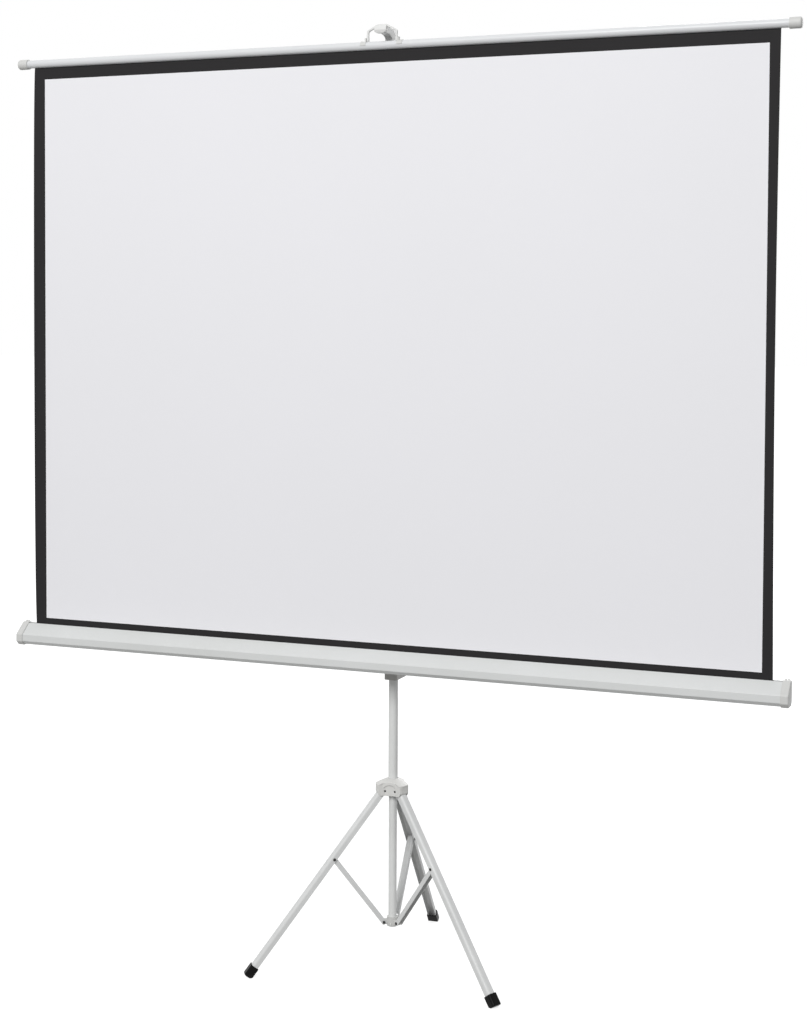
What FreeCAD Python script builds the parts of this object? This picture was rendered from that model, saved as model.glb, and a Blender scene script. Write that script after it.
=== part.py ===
import FreeCAD, Part
import os
import Sketcher

# Projection screen on a tripod stand, in millimetres.
# The floor is z = 0, +X runs to the screen's right seen from the front, and +Y points to the back.

SIZES = {
    "General": {
        "overrun": 5,
        "seat_gap": 0.1,
        "slide_gap": 0.3,
        "pin_gap": 0.05,
        "same_place": 0.05,
    },
    "Sheet": {
        "image_width": 2032,
        "image_height": 1524,
        "side_border": 30,
        "top_border": 33,
        "bottom_border": 17,
        "fabric_thickness": 0.5,
        "slot_height": 880,
    },
    "Mast": {
        "mast_x": 13,
        "mast_y": -84.121,
        "screen_reach": 98,
        "main_tube_diameter": 25,
        "main_tube_wall": 1.2,
        "main_tube_length": 1029,
        "lower_tube_wall": 1,
        "lower_tube_length": 535,
        "extension_tube_diameter": 19,
        "extension_tube_wall": 1,
        "extension_tube_length": 1136,
    },
    "Leg hub": {
        "leg_turn": 3.9,
        "pivot_radius": 25,
        "lobe_radius": 18.4,
        "lobe_width": 32,
        "hub_base_radius": 38,
        "hub_skirt_drop": 3,
        "hub_neck_radius": 15.5,
        "hub_neck_rise": 22,
        "hub_collar_radius": 13.6,
        "hub_collar_rise": 31,
        "hub_flat": 26.5,
        "leg_slot_root": 14.6,
        "leg_slot_radius": 15.4,
        "leg_side_gap": 0.5,
        "leg_face_gap": 0.8,
        "pivot_pin_diameter": 5,
        "pivot_pin_proud": 0.8,
    },
    "Legs": {
        "leg_reach": 608.2,
        "leg_spread": 37.25,
        "leg_width": 24,
        "leg_depth": 18,
        "leg_inner_depth": 6,
        "leg_wall": 1.2,
        "leg_round": 8,
        "leg_top": 8,
        "rivet_diameter": 4,
        "rivet_head_diameter": 8,
        "rivet_head_height": 1.6,
    },
    "Feet": {
        "foot_wall": 2.5,
        "foot_length": 28,
        "foot_floor": 6,
        "foot_rise": 1.4,
        "foot_corner_round": 7,
        "foot_edge_round": 2,
        "foot_trim_reach": 40,
    },
    "Braces": {
        "brace_length": 225.6,
        "brace_width": 18,
        "brace_depth": 9,
        "brace_web_depth": 5,
        "brace_wall": 1,
        "brace_round": 2.5,
        "brace_tip": 6,
        "brace_tip_round": 3.5,
        "brace_fork_length": 28,
    },
    "Brace hub": {
        "brace_hub_radius": 15,
        "brace_hub_rise": 13,
        "brace_hub_drop": 13,
        "brace_hub_floor": 3,
        "brace_hub_round": 3,
        "ear_thickness": 14,
        "ear_tip_radius": 6,
        "hub_screw_diameter": 4,
        "hub_screw_head_diameter": 7,
        "hub_screw_head_height": 1.8,
        "hub_screw_drop": 6,
    },
    "Case": {
        "case_margin": 41.5,
        "case_lip": 2,
        "case_front": 37,
        "case_facet_drop": 29,
        "case_front_drop": 47.5,
        "case_chamfer_run": 10.4,
        "case_height": 57.4,
        "case_back": 13,
        "case_back_chamfer": 8,
        "case_back_drop": 6,
        "case_back_run": 4,
        "case_round": 2.5,
        "case_wall": 1.2,
        "slot_front": 2.5,
        "slot_back": 4.5,
        "slot_depth": 10,
        "cap_grip": 17.5,
        "cap_wall": 2.5,
        "shaft_boss_diameter": 14,
        "shaft_boss_length": 8,
        "cap_lug_height": 11,
        "cap_lug_thickness": 4,
        "cap_lug_round": 3,
        "cap_lug_hole_diameter": 7,
        "cap_lug_hole_rise": 5.5,
        "cap_screw_diameter": 4,
        "cap_screw_head_diameter": 7,
        "cap_screw_head_height": 1.6,
    },
    "Roller": {
        "roller_diameter": 25,
        "roller_wall": 0.8,
        "roller_end_gap": 4.5,
        "roller_drop": 36.5,
        "roll_thickness": 0.8,
        "roller_plug_length": 25,
        "shaft_diameter": 8,
        "spring_wall": 2,
        "spring_length": 520,
        "spring_end_gap": 60,
    },
    "Slide bracket": {
        "bracket_width": 36,
        "bracket_front": 23.5,
        "bracket_back": 50,
        "bracket_height": 90,
        "bracket_drop": 95,
        "bracket_round": 5,
        "bush_wall": 2.2,
        "swivel_drop": 29,
        "swivel_boss_diameter": 34,
        "swivel_bolt_diameter": 10,
        "swivel_bolt_grip": 26,
        "swivel_head_diameter": 17,
        "swivel_head_height": 6,
        "swivel_washer_diameter": 32,
        "swivel_washer_thickness": 2,
        "plate_half_width": 55,
        "plate_half_crown": 30,
        "plate_height": 44,
        "plate_stand_off": 11,
        "plate_thickness": 3,
        "plate_screw_spread": 84,
        "plate_screw_pitch": 26,
        "plate_screw_diameter": 4,
        "plate_screw_head_diameter": 8,
        "plate_screw_head_height": 2,
    },
    "Extension collar": {
        "collar_radius": 18,
        "collar_skirt": 35,
        "collar_head": 30,
        "collar_round": 3,
        "collar_boss_diameter": 17,
        "collar_boss_reach": 27,
        "collar_lock_rise": 15,
    },
    "Lock knobs": {
        "knob_radius": 17,
        "knob_thickness": 13,
        "knob_scallop_diameter": 11,
        "knob_scallop_radius": 19,
        "knob_neck_diameter": 14,
        "knob_neck_length": 6,
        "knob_round": 2,
        "lock_screw_diameter": 6,
        "knob_gap": 2,
        "height_lock_rise": 45,
    },
    "Top bar": {
        "bar_diameter": 22,
        "bar_wall": 1.2,
        "bar_overhang": 45,
        "bar_cap_diameter": 28,
        "bar_cap_length": 30,
        "bar_cap_floor": 5,
        "bar_cap_round": 5,
        "bar_notch_inset": 4,
        "bar_notch_length": 6,
        "bar_notch_width": 5,
        "fabric_rod_diameter": 6,
    },
    "Bail": {
        "bail_width": 86,
        "bail_shoulder_rise": 24,
        "bail_top_width": 26,
        "bail_rise": 40,
        "bail_thickness": 6,
        "bail_depth": 7,
        "bail_round": 2,
        "bail_bend_round": 6,
        "bail_foot": 3.5,
        "bail_pivot_rise": 4,
        "bail_pin_diameter": 3,
        "clip_gap": 0.5,
        "clip_length": 15,
        "clip_thickness": 1.6,
        "clip_lug_length": 4,
        "clip_lug_depth": 11,
        "clip_lug_head": 5,
    },
    "Hook": {
        "hook_width": 30,
        "hook_arm_width": 20,
        "hook_beak_width": 34,
        "hook_block_depth": 16,
        "hook_block_drop": 30,
        "hook_block_rise": 26,
        "hook_socket_rise": 10,
        "hook_saddle_play": 3.2,
        "hook_saddle_gap": 0.6,
        "hook_horn_rise": 4.5,
        "hook_back_rise": 4,
        "hook_lip": 7,
        "hook_nose": 11,
        "hook_nose_drop": 20,
        "hook_arm_depth": 22,
        "hook_arm_run": 18,
        "hook_root_drop": 8,
        "hook_round": 2.5,
        "hook_screw_diameter": 4,
        "hook_screw_head_diameter": 7,
        "hook_screw_head_height": 2,
        "hook_screw_drop": 10,
    },
}

LEG_AZIMUTHS = {"rear": "(90 + d.leg_turn)", "left": "(210 + d.leg_turn)", "right": "(330 + d.leg_turn)"}

doc = FreeCAD.newDocument("projection_screen")
sheet = doc.addObject("Spreadsheet::Sheet", "d")
row = 0
for group_name, group_sizes in SIZES.items():
    row += 1
    sheet.set(f"A{row}", group_name)
    for name, size in group_sizes.items():
        row += 1
        sheet.set(f"A{row}", name)
        sheet.set(f"B{row}", str(size))
        sheet.setAlias(f"B{row}", name)
doc.recompute()

# Places that several pieces share, as expressions of the sheet's cells.
FABRIC_WIDTH = "(d.image_width + 2*d.side_border)"
CASE_LENGTH = f"({FABRIC_WIDTH} + 2*d.case_margin)"
BAR_BOTTOM = "(d.slot_height + d.bottom_border + d.image_height + d.top_border)"
BAR_AXIS = f"({BAR_BOTTOM} + d.bar_diameter/2)"
BAR_TOP = f"({BAR_BOTTOM} + d.bar_diameter)"
SCREEN_Y = "(d.mast_y - d.screen_reach)"
LEG_PIN_Z = "(d.leg_reach*cos(d.leg_spread))"
BRACE_PIN_Z = f"({LEG_PIN_Z} - 2*d.brace_length*cos(d.leg_spread))"
MAIN_TOP = f"({LEG_PIN_Z} - d.lobe_radius + d.main_tube_length)"
MAIN_BORE = "(d.main_tube_diameter - 2*d.main_tube_wall)"
LOWER_DIAMETER = f"({MAIN_BORE} - 2*d.slide_gap)"
ROLL_RADIUS = "(d.roller_diameter/2 + d.seat_gap + d.roll_thickness)"
ROLLER_Y = f"(0 - {ROLL_RADIUS} - d.fabric_thickness/2 - d.slide_gap)"
ROLLER_LENGTH = f"({CASE_LENGTH} - 2*d.shaft_boss_length - 2*d.roller_end_gap)"
SWIVEL_Z = "(d.slot_height - d.swivel_drop)"
BRACKET_Z = "(d.slot_height - d.bracket_drop)"
PIVOT_SPACING = 60

nodes = []


def value(expression):
    return float(sheet.evalExpression(expression))


def node(thing):
    nodes.append(thing)
    return thing


def place(thing, x="0", y="0", z="0", yaw="0", pitch="0", roll="0"):
    thing.setExpression(
        "Placement",
        f"placement(vector({x}; {y}; {z}); rotation({yaw}; {pitch}; {roll}))",
    )
    return thing


def body(name):
    return doc.addObject("PartDesign::Body", name)


def origin(owner, role):
    return next(f for f in owner.Origin.OriginFeatures if f.Role == role)


def sketch(owner, role, lift="0"):
    drawing = owner.newObject("Sketcher::SketchObject", f"{owner.Name}_outline")
    drawing.AttachmentSupport = (origin(owner, role), [""])
    drawing.MapMode = "FlatFace"
    drawing.setExpression("AttachmentOffset.Base.z", lift)
    return drawing


def fix_point(drawing, element, point, x, y):
    for kind, expression, axis in (("DistanceX", x, -2), ("DistanceY", y, -1)):
        if expression == "0":
            drawing.addConstraint(Sketcher.Constraint("PointOnObject", element, point, axis))
        else:
            held = Sketcher.Constraint(kind, -1, 1, element, point, value(expression))
            index = drawing.addConstraint(held)
            drawing.setExpression(f"Constraints[{index}]", expression)


def polygon(drawing, points):
    corners = [FreeCAD.Vector(value(x), value(y), 0) for x, y in points]
    first = drawing.GeometryCount
    count = len(points)
    for i in range(count):
        drawing.addGeometry(Part.LineSegment(corners[i], corners[(i + 1) % count]), False)
    for i in range(count):
        joined = Sketcher.Constraint("Coincident", first + i, 2, first + (i + 1) % count, 1)
        drawing.addConstraint(joined)
    for i, (x, y) in enumerate(points):
        fix_point(drawing, first + i, 1, x, y)
    return drawing


def rectangle(drawing, x0, y0, x1, y1):
    return polygon(drawing, [(x0, y0), (x1, y0), (x1, y1), (x0, y1)])


def circle(drawing, diameter, x="0", y="0"):
    centre = FreeCAD.Vector(value(x), value(y), 0)
    round_line = Part.Circle(centre, FreeCAD.Vector(0, 0, 1), value(diameter) / 2)
    element = drawing.addGeometry(round_line, False)
    index = drawing.addConstraint(Sketcher.Constraint("Diameter", element, value(diameter)))
    drawing.setExpression(f"Constraints[{index}]", diameter)
    fix_point(drawing, element, 3, x, y)
    return drawing


def extrude(owner, kind, drawing, length, both, back):
    feature = owner.newObject(kind, f"{owner.Name}_step")
    feature.Profile = drawing
    feature.setExpression("Length", length)
    feature.SideType = "Symmetric" if both else "One side"
    feature.Reversed = back
    doc.recompute()
    return feature


def pad(owner, drawing, length, both=False, back=False):
    return extrude(owner, "PartDesign::Pad", drawing, length, both, back)


def pocket(owner, drawing, length, both=False, back=False):
    before = owner.Shape.Volume
    feature = extrude(owner, "PartDesign::Pocket", drawing, length, both, back)
    if not feature.Shape.Volume < before:
        raise RuntimeError(f"{owner.Name}: a pocket cut nothing")
    return feature


def revolve(owner, drawing):
    feature = owner.newObject("PartDesign::Revolution", f"{owner.Name}_turned")
    feature.Profile = drawing
    feature.ReferenceAxis = (drawing, ["V_Axis"])
    feature.Angle = 360
    doc.recompute()
    return feature


def polar(owner, features, count):
    pattern = owner.newObject("PartDesign::PolarPattern", f"{owner.Name}_round")
    pattern.Originals = features
    pattern.Axis = (origin(owner, "Z_Axis"), [""])
    pattern.Angle = 360
    pattern.Occurrences = count
    owner.Tip = pattern
    doc.recompute()
    return pattern


def fillet(owner, radius, chosen):
    base = owner.Tip
    names = [f"Edge{i}" for i, edge in enumerate(base.Shape.Edges, 1) if chosen(edge)]
    if not names:
        raise RuntimeError(f"{owner.Name}: no edge to round")
    feature = owner.newObject("PartDesign::Fillet", f"{owner.Name}_rounding")
    feature.Base = (base, names)
    feature.setExpression("Radius", radius)
    doc.recompute()
    return feature


def wall(owner, thickness, open_side, inward=True):
    base = owner.Tip
    names = [f"Face{i}" for i, face in enumerate(base.Shape.Faces, 1) if open_side(face)]
    feature = owner.newObject("PartDesign::Thickness", f"{owner.Name}_wall")
    feature.Base = (base, names)
    feature.setExpression("Value", thickness)
    feature.Reversed = inward
    feature.Mode = "Skin"
    feature.Join = "Intersection" if inward else "Arc"
    doc.recompute()
    return feature


def primitive(kind, name, **sizes):
    thing = doc.addObject(f"Part::{kind}", name)
    for size_name, expression in sizes.items():
        thing.setExpression(size_name, expression)
    return thing


def group(name, pieces):
    thing = doc.addObject("Part::Compound", name)
    thing.Links = pieces
    return thing


def near(a, b):
    return abs(a - b) < value("d.same_place")


def runs_along(edge, axis):
    if not isinstance(edge.Curve, (Part.Line, Part.LineSegment)):
        return False
    return abs(abs(edge.tangentAt(edge.FirstParameter).dot(axis)) - 1) < 1e-6


def faces_along(face, axis):
    if not isinstance(face.Surface, Part.Plane):
        return False
    return abs(face.normalAt(0, 0).dot(axis) - 1) < 1e-6


X_AXIS = FreeCAD.Vector(1, 0, 0)
Y_AXIS = FreeCAD.Vector(0, 1, 0)
Z_AXIS = FreeCAD.Vector(0, 0, 1)


def tube(name, role, outer, inner, length, both=False):
    owner = body(name)
    drawing = sketch(owner, role)
    circle(drawing, outer)
    circle(drawing, inner)
    pad(owner, drawing, length, both)
    return owner


def headed_pin(name, head_diameter, head_height, diameter, length):
    """A turned pin along +Z: the shank starts at z = 0 and the head stands below it."""
    owner = body(name)
    drawing = sketch(owner, "XZ_Plane")
    polygon(drawing, [
        ("0", f"-{head_height}"),
        (f"{head_diameter}/2", f"-{head_height}"),
        (f"{head_diameter}/2", "0"),
        (f"{diameter}/2", "0"),
        (f"{diameter}/2", length),
        ("0", length),
    ])
    revolve(owner, drawing)
    head_edge = value(head_height)
    fillet(owner, f"{head_height}/2", lambda edge: near(edge.BoundBox.ZMin, -head_edge)
           and near(edge.BoundBox.ZMax, -head_edge))
    return owner


def leg_point(azimuth, along="0"):
    """A point of the leg's pivot line, as x, y and z expressions."""
    reach = f"(d.pivot_radius + ({along})*sin(d.leg_spread))"
    return (
        f"d.mast_x + {reach}*cos({azimuth})",
        f"d.mast_y + {reach}*sin({azimuth})",
        f"{LEG_PIN_Z} - ({along})*cos(d.leg_spread)",
    )


# The main tube of the mast, with the leg hub moulded round its lower end.
main_tube = node(tube("main_tube", "XY_Plane", "d.main_tube_diameter", MAIN_BORE, "d.main_tube_length"))
place(main_tube, "d.mast_x", "d.mast_y", f"{LEG_PIN_Z} - d.lobe_radius")

leg_hub = node(body("leg_hub"))
cone = sketch(leg_hub, "XZ_Plane")
polygon(cone, [
    ("0", "-d.lobe_radius"),
    ("d.hub_base_radius", "-d.lobe_radius"),
    ("d.hub_base_radius", "-d.hub_skirt_drop"),
    ("d.hub_neck_radius", "d.hub_neck_rise"),
    ("d.hub_collar_radius", "d.hub_collar_rise"),
    ("0", "d.hub_collar_rise"),
])
revolve(leg_hub, cone)
# Three flats face away from the legs and carry the ends of the pivot pins.
flat = sketch(leg_hub, "XY_Plane")
rectangle(flat, "-2*d.hub_base_radius", "-2*d.hub_base_radius", "-d.hub_flat", "2*d.hub_base_radius")
polar(leg_hub, [pocket(leg_hub, flat, "4*d.hub_collar_rise", both=True)], 3)
# A rounded lobe holds the head of each leg between two cheeks.
lobe = sketch(leg_hub, "XZ_Plane")
circle(lobe, "2*d.lobe_radius", "d.pivot_radius")
lobe_pad = pad(leg_hub, lobe, "d.lobe_width", both=True)
neck = sketch(leg_hub, "XZ_Plane")
rectangle(neck, "0", "-d.lobe_radius", "d.pivot_radius", "d.lobe_radius")
neck_pad = pad(leg_hub, neck, "d.lobe_width", both=True)
polar(leg_hub, [lobe_pad, neck_pad], 3)
# The slot is open below and outwards, and its roof clears the leg's head over the whole fold.
leg_face = "(d.leg_depth - d.leg_inner_depth + d.leg_face_gap)"
face_start = f"sqrt(d.leg_slot_radius^2 - {leg_face}^2)"
face_end = f"({face_start} + 2*d.lobe_radius)"
slot_low = "-3*d.lobe_radius"
slot_out = f"d.pivot_radius + {leg_face}*cos(d.leg_spread) + {face_end}*sin(d.leg_spread)"
slot = sketch(leg_hub, "XZ_Plane")
polygon(slot, [
    ("d.leg_slot_root", slot_low),
    ("d.leg_slot_root", "d.leg_slot_radius*cos(45)"),
    ("d.pivot_radius", "d.leg_slot_radius"),
    ("d.pivot_radius + d.leg_slot_radius*sin(30)", "d.leg_slot_radius*cos(30)"),
    ("d.pivot_radius + d.leg_slot_radius*sin(60)", "d.leg_slot_radius*cos(60)"),
    (f"d.pivot_radius + {leg_face}*cos(d.leg_spread) + {face_start}*sin(d.leg_spread)",
     f"{leg_face}*sin(d.leg_spread) - {face_start}*cos(d.leg_spread)"),
    (slot_out, f"{leg_face}*sin(d.leg_spread) - {face_end}*cos(d.leg_spread)"),
    (slot_out, slot_low),
])
slot_cut = pocket(leg_hub, slot, "d.leg_width + 2*d.leg_side_gap", both=True)
pin_hole = sketch(leg_hub, "XZ_Plane")
circle(pin_hole, "d.pivot_pin_diameter + 2*d.pin_gap", "d.pivot_radius")
pin_cut = pocket(leg_hub, pin_hole, "3*d.lobe_width", both=True)
polar(leg_hub, [slot_cut, pin_cut], 3)
bore = sketch(leg_hub, "XY_Plane")
circle(bore, "d.main_tube_diameter + 2*d.seat_gap")
pocket(leg_hub, bore, "4*d.hub_collar_rise", both=True)
place(leg_hub, "d.mast_x", "d.mast_y", LEG_PIN_Z, yaw="90 + d.leg_turn")

pin_half = f"((d.hub_flat - d.pivot_radius*cos({PIVOT_SPACING}))/sin({PIVOT_SPACING}) + d.pivot_pin_proud)"
pivot_pins = []
for side, azimuth in LEG_AZIMUTHS.items():
    pin = primitive("Cylinder", f"pivot_pin_{side}", Radius="d.pivot_pin_diameter/2", Height=f"2*{pin_half}")
    x, y, z = leg_point(azimuth)
    place(pin, f"{x} + {pin_half}*sin({azimuth})", f"{y} - {pin_half}*cos({azimuth})", z,
          yaw=azimuth, roll="-90")
    pivot_pins.append(pin)
node(group("leg_pivot_pins", pivot_pins))

# The collar on the main tube's top end guides the extension tube and holds its lock screw.
collar = node(body("extension_collar"))
collar_side = sketch(collar, "XZ_Plane")
rectangle(collar_side, "0", "-d.collar_skirt", "d.collar_radius", "d.collar_head")
revolve(collar, collar_side)
fillet(collar, "d.collar_round", lambda edge: near(edge.BoundBox.ZLength, 0)
       and near(edge.BoundBox.XMax, value("d.collar_radius")))
collar_boss = sketch(collar, "XZ_Plane")
circle(collar_boss, "d.collar_boss_diameter", "0", "d.collar_lock_rise")
pad(collar, collar_boss, "d.collar_boss_reach", back=True)
tube_seat = sketch(collar, "XY_Plane")
circle(tube_seat, "d.main_tube_diameter + 2*d.seat_gap")
pocket(collar, tube_seat, "d.collar_skirt + d.overrun")
guide = sketch(collar, "XY_Plane")
circle(guide, "d.extension_tube_diameter + 2*d.slide_gap")
pocket(collar, guide, "2*(d.collar_head + d.overrun)", both=True)
lock_hole = sketch(collar, "XZ_Plane")
circle(lock_hole, "d.lock_screw_diameter + 2*d.pin_gap", "0", "d.collar_lock_rise")
pocket(collar, lock_hole, "d.collar_boss_reach + d.overrun")
place(collar, "d.mast_x", "d.mast_y", MAIN_TOP)


def make_leg(side, azimuth):
    """A channel leg along -Z from its pivot, open towards the mast at -X."""
    outer = value("d.leg_depth - d.leg_inner_depth")
    leg = node(body(f"leg_{side}"))
    section = sketch(leg, "XY_Plane", "d.leg_top")
    rectangle(section, "-d.leg_inner_depth", "-d.leg_width/2",
              "d.leg_depth - d.leg_inner_depth", "d.leg_width/2")
    pad(leg, section, "d.leg_top + d.leg_reach - d.foot_rise - d.foot_floor - d.seat_gap", back=True)
    fillet(leg, "d.leg_round", lambda edge: runs_along(edge, Z_AXIS) and near(edge.BoundBox.XMin, outer))
    wall(leg, "d.leg_wall", lambda face: faces_along(face, -X_AXIS) or faces_along(face, Z_AXIS)
         or faces_along(face, -Z_AXIS))
    holes = sketch(leg, "XZ_Plane")
    circle(holes, "d.pivot_pin_diameter + 2*d.pin_gap")
    circle(holes, "d.rivet_diameter + 2*d.pin_gap", "0", "-d.brace_length")
    pocket(leg, holes, "d.leg_width + 2*d.overrun", both=True)
    place(leg, *leg_point(azimuth), yaw=azimuth, pitch="-d.leg_spread")


def make_foot(side, azimuth):
    """A rubber cap pushed on the leg's end, worn flat where it meets the floor."""
    foot = node(body(f"foot_{side}"))
    start = "(d.leg_reach - d.foot_rise - d.foot_length)"
    half_width = "(d.leg_width/2 + d.foot_wall)"
    block = sketch(foot, "XY_Plane", f"-{start}")
    rectangle(block, "-d.leg_inner_depth - d.foot_wall", f"-{half_width}",
              "d.leg_depth - d.leg_inner_depth + d.foot_wall", half_width)
    pad(foot, block, "d.foot_length", back=True)
    fillet(foot, "d.foot_corner_round", lambda edge: runs_along(edge, Z_AXIS) and edge.BoundBox.XMin > 0)
    end = -value("d.leg_reach - d.foot_rise")
    fillet(foot, "d.foot_edge_round", lambda edge: near(edge.BoundBox.ZMax, end))
    socket = sketch(foot, "XY_Plane", f"-{start}")
    socket_half = "(d.leg_width/2 + d.seat_gap)"
    rectangle(socket, "-d.leg_inner_depth - d.seat_gap", f"-{socket_half}",
              "d.leg_depth - d.leg_inner_depth + d.seat_gap", socket_half)
    pocket(foot, socket, "d.foot_length - d.foot_floor")
    slope = "d.foot_trim_reach*tan(d.leg_spread)"
    floor = sketch(foot, "XZ_Plane")
    polygon(floor, [
        ("-d.foot_trim_reach", f"-d.leg_reach + {slope}"),
        ("-d.foot_trim_reach", f"-d.leg_reach - {slope}"),
        ("d.foot_trim_reach", f"-d.leg_reach - {slope}"),
    ])
    pocket(foot, floor, "2*d.leg_width", both=True)
    place(foot, *leg_point(azimuth), yaw=azimuth, pitch="-d.leg_spread")


def make_brace_rivet(side, azimuth):
    """The rivet through both walls of the leg, on which the strut turns."""
    rivet = node(body(f"brace_rivet_{side}"))
    half = "d.leg_width/2"
    end = "(d.leg_width/2 + d.rivet_head_height)"
    half_section = sketch(rivet, "XZ_Plane")
    polygon(half_section, [
        ("0", f"-{end}"),
        ("d.rivet_head_diameter/2", f"-{end}"),
        ("d.rivet_head_diameter/2", f"-{half}"),
        ("d.rivet_diameter/2", f"-{half}"),
        ("d.rivet_diameter/2", half),
        ("d.rivet_head_diameter/2", half),
        ("d.rivet_head_diameter/2", end),
        ("0", end),
    ])
    revolve(rivet, half_section)
    outside = value(end)
    fillet(rivet, "d.rivet_head_height/2",
           lambda edge: near(abs(edge.BoundBox.ZMin), outside) and near(edge.BoundBox.ZLength, 0))
    place(rivet, *leg_point(azimuth, "d.brace_length"), yaw=azimuth, roll="-90")


def make_brace(side, azimuth):
    """A channel strut along -Z from its pivot in the leg, with its web towards the mast at -X."""
    brace = node(body(f"brace_{side}"))
    back = value("-d.brace_web_depth")
    front = value("d.brace_depth - d.brace_web_depth")
    section = sketch(brace, "XY_Plane", "d.brace_tip")
    rectangle(section, "-d.brace_web_depth", "-d.brace_width/2",
              "d.brace_depth - d.brace_web_depth", "d.brace_width/2")
    pad(brace, section, "d.brace_length + 2*d.brace_tip", back=True)
    fillet(brace, "d.brace_round", lambda edge: runs_along(edge, Z_AXIS) and near(edge.BoundBox.XMin, back))
    wall(brace, "d.brace_wall", lambda face: faces_along(face, X_AXIS) or faces_along(face, Z_AXIS)
         or faces_along(face, -Z_AXIS))
    fork = sketch(brace, "XZ_Plane")
    rectangle(fork, "-d.brace_web_depth - d.overrun", "-d.brace_length - d.brace_tip - d.overrun",
              "-d.brace_web_depth + d.brace_wall + d.seat_gap", "-d.brace_length + d.brace_fork_length")
    pocket(brace, fork, "d.brace_width - 2*d.brace_wall", both=True)
    fillet(brace, "d.brace_tip_round", lambda edge: runs_along(edge, Y_AXIS)
           and near(edge.BoundBox.XMin, front))
    holes = sketch(brace, "XZ_Plane")
    circle(holes, "d.rivet_diameter + 2*d.pin_gap")
    circle(holes, "d.rivet_diameter + 2*d.pin_gap", "0", "-d.brace_length")
    pocket(brace, holes, "d.brace_width + 2*d.overrun", both=True)
    place(brace, *leg_point(azimuth, "d.brace_length"), yaw=azimuth, pitch="d.leg_spread")


def make_brace_end_rivets(side, azimuth):
    """A low rivet in each wall of the strut's fork, which passes inside the leg when it folds."""
    stubs = []
    foot_x = f"d.mast_x + d.pivot_radius*cos({azimuth})"
    foot_y = f"d.mast_y + d.pivot_radius*sin({azimuth})"
    half = "d.brace_width/2"
    head = "((d.leg_width - 2*d.leg_wall - d.brace_width)/2 - d.slide_gap)"
    for sign, facing in (("+", 90), ("-", -90)):
        stub = headed_pin(f"brace_end_rivet_{side}_{facing + 90}", "d.rivet_head_diameter",
                          head, "d.rivet_diameter", "d.brace_wall")
        place(stub, f"{foot_x} {'-' if sign == '+' else '+'} {half}*sin({azimuth})",
              f"{foot_y} {sign} {half}*cos({azimuth})", BRACE_PIN_Z, yaw=azimuth, roll=str(facing))
        stubs.append(stub)
    node(group(f"brace_end_rivets_{side}", stubs))


for side, azimuth in LEG_AZIMUTHS.items():
    make_leg(side, azimuth)
    make_foot(side, azimuth)
    make_brace_rivet(side, azimuth)
    make_brace(side, azimuth)
    make_brace_end_rivets(side, azimuth)

# The lower tube slides in the main tube, and the struts hang on the ears of its hub.
lower_tube = node(tube("lower_tube", "XY_Plane", LOWER_DIAMETER,
                       f"{LOWER_DIAMETER} - 2*d.lower_tube_wall", "d.lower_tube_length"))
place(lower_tube, "d.mast_x", "d.mast_y", f"{BRACE_PIN_Z} - d.brace_hub_drop + d.brace_hub_floor")

brace_hub = node(body("brace_hub"))
boss = sketch(brace_hub, "XY_Plane", "-d.brace_hub_drop")
circle(boss, "2*d.brace_hub_radius")
pad(brace_hub, boss, "d.brace_hub_drop + d.brace_hub_rise")
fillet(brace_hub, "d.brace_hub_round", lambda edge: near(edge.BoundBox.ZMax, value("-d.brace_hub_drop")))
ear = sketch(brace_hub, "XZ_Plane")
rectangle(ear, "0", "-d.ear_tip_radius", "d.pivot_radius", "d.ear_tip_radius")
ear_pad = pad(brace_hub, ear, "d.ear_thickness", both=True)
ear_tip = sketch(brace_hub, "XZ_Plane")
circle(ear_tip, "2*d.ear_tip_radius", "d.pivot_radius")
tip_pad = pad(brace_hub, ear_tip, "d.ear_thickness", both=True)
ear_hole = sketch(brace_hub, "XZ_Plane")
circle(ear_hole, "d.rivet_diameter + 2*d.pin_gap", "d.pivot_radius")
hole_cut = pocket(brace_hub, ear_hole, "d.ear_thickness + 2*d.overrun", both=True)
polar(brace_hub, [ear_pad, tip_pad, hole_cut], 3)
seat = sketch(brace_hub, "XY_Plane", "-d.brace_hub_drop + d.brace_hub_floor")
circle(seat, f"{LOWER_DIAMETER} + 2*d.seat_gap")
pocket(brace_hub, seat, "d.brace_hub_drop + d.brace_hub_rise + d.overrun", back=True)
screw_hole = sketch(brace_hub, "YZ_Plane")
circle(screw_hole, "d.hub_screw_diameter + 2*d.seat_gap", "0", "-d.hub_screw_drop")
pocket(brace_hub, screw_hole, "d.brace_hub_radius + d.overrun")
place(brace_hub, "d.mast_x", "d.mast_y", BRACE_PIN_Z, yaw="90 + d.leg_turn")

hub_screw = node(headed_pin("brace_hub_screw", "d.hub_screw_head_diameter", "d.hub_screw_head_height",
                            "d.hub_screw_diameter", f"d.brace_hub_radius - {LOWER_DIAMETER}/2 - d.seat_gap"))
place(hub_screw, "d.mast_x + d.brace_hub_radius*sin(d.leg_turn)",
      "d.mast_y - d.brace_hub_radius*cos(d.leg_turn)", f"{BRACE_PIN_Z} - d.hub_screw_drop",
      yaw="d.leg_turn", roll="-90")


def draw_case(drawing):
    """The faceted section of the case, with the slot's front lip at the top."""
    polygon(drawing, [
        ("-d.case_lip", "0"),
        ("-d.case_front", "-d.case_facet_drop"),
        ("-d.case_front", "-d.case_front_drop"),
        ("-d.case_front + d.case_chamfer_run", "-d.case_height"),
        ("d.case_back - d.case_back_chamfer", "-d.case_height"),
        ("d.case_back", "-d.case_height + d.case_back_chamfer"),
        ("d.case_back", "-d.case_back_drop"),
        ("d.case_back - d.case_back_run", "0"),
    ])


def round_case(owner):
    fillet(owner, "d.case_round", lambda edge: runs_along(edge, X_AXIS)
           and edge.BoundBox.ZMax < -value("d.pin_gap"))


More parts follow.
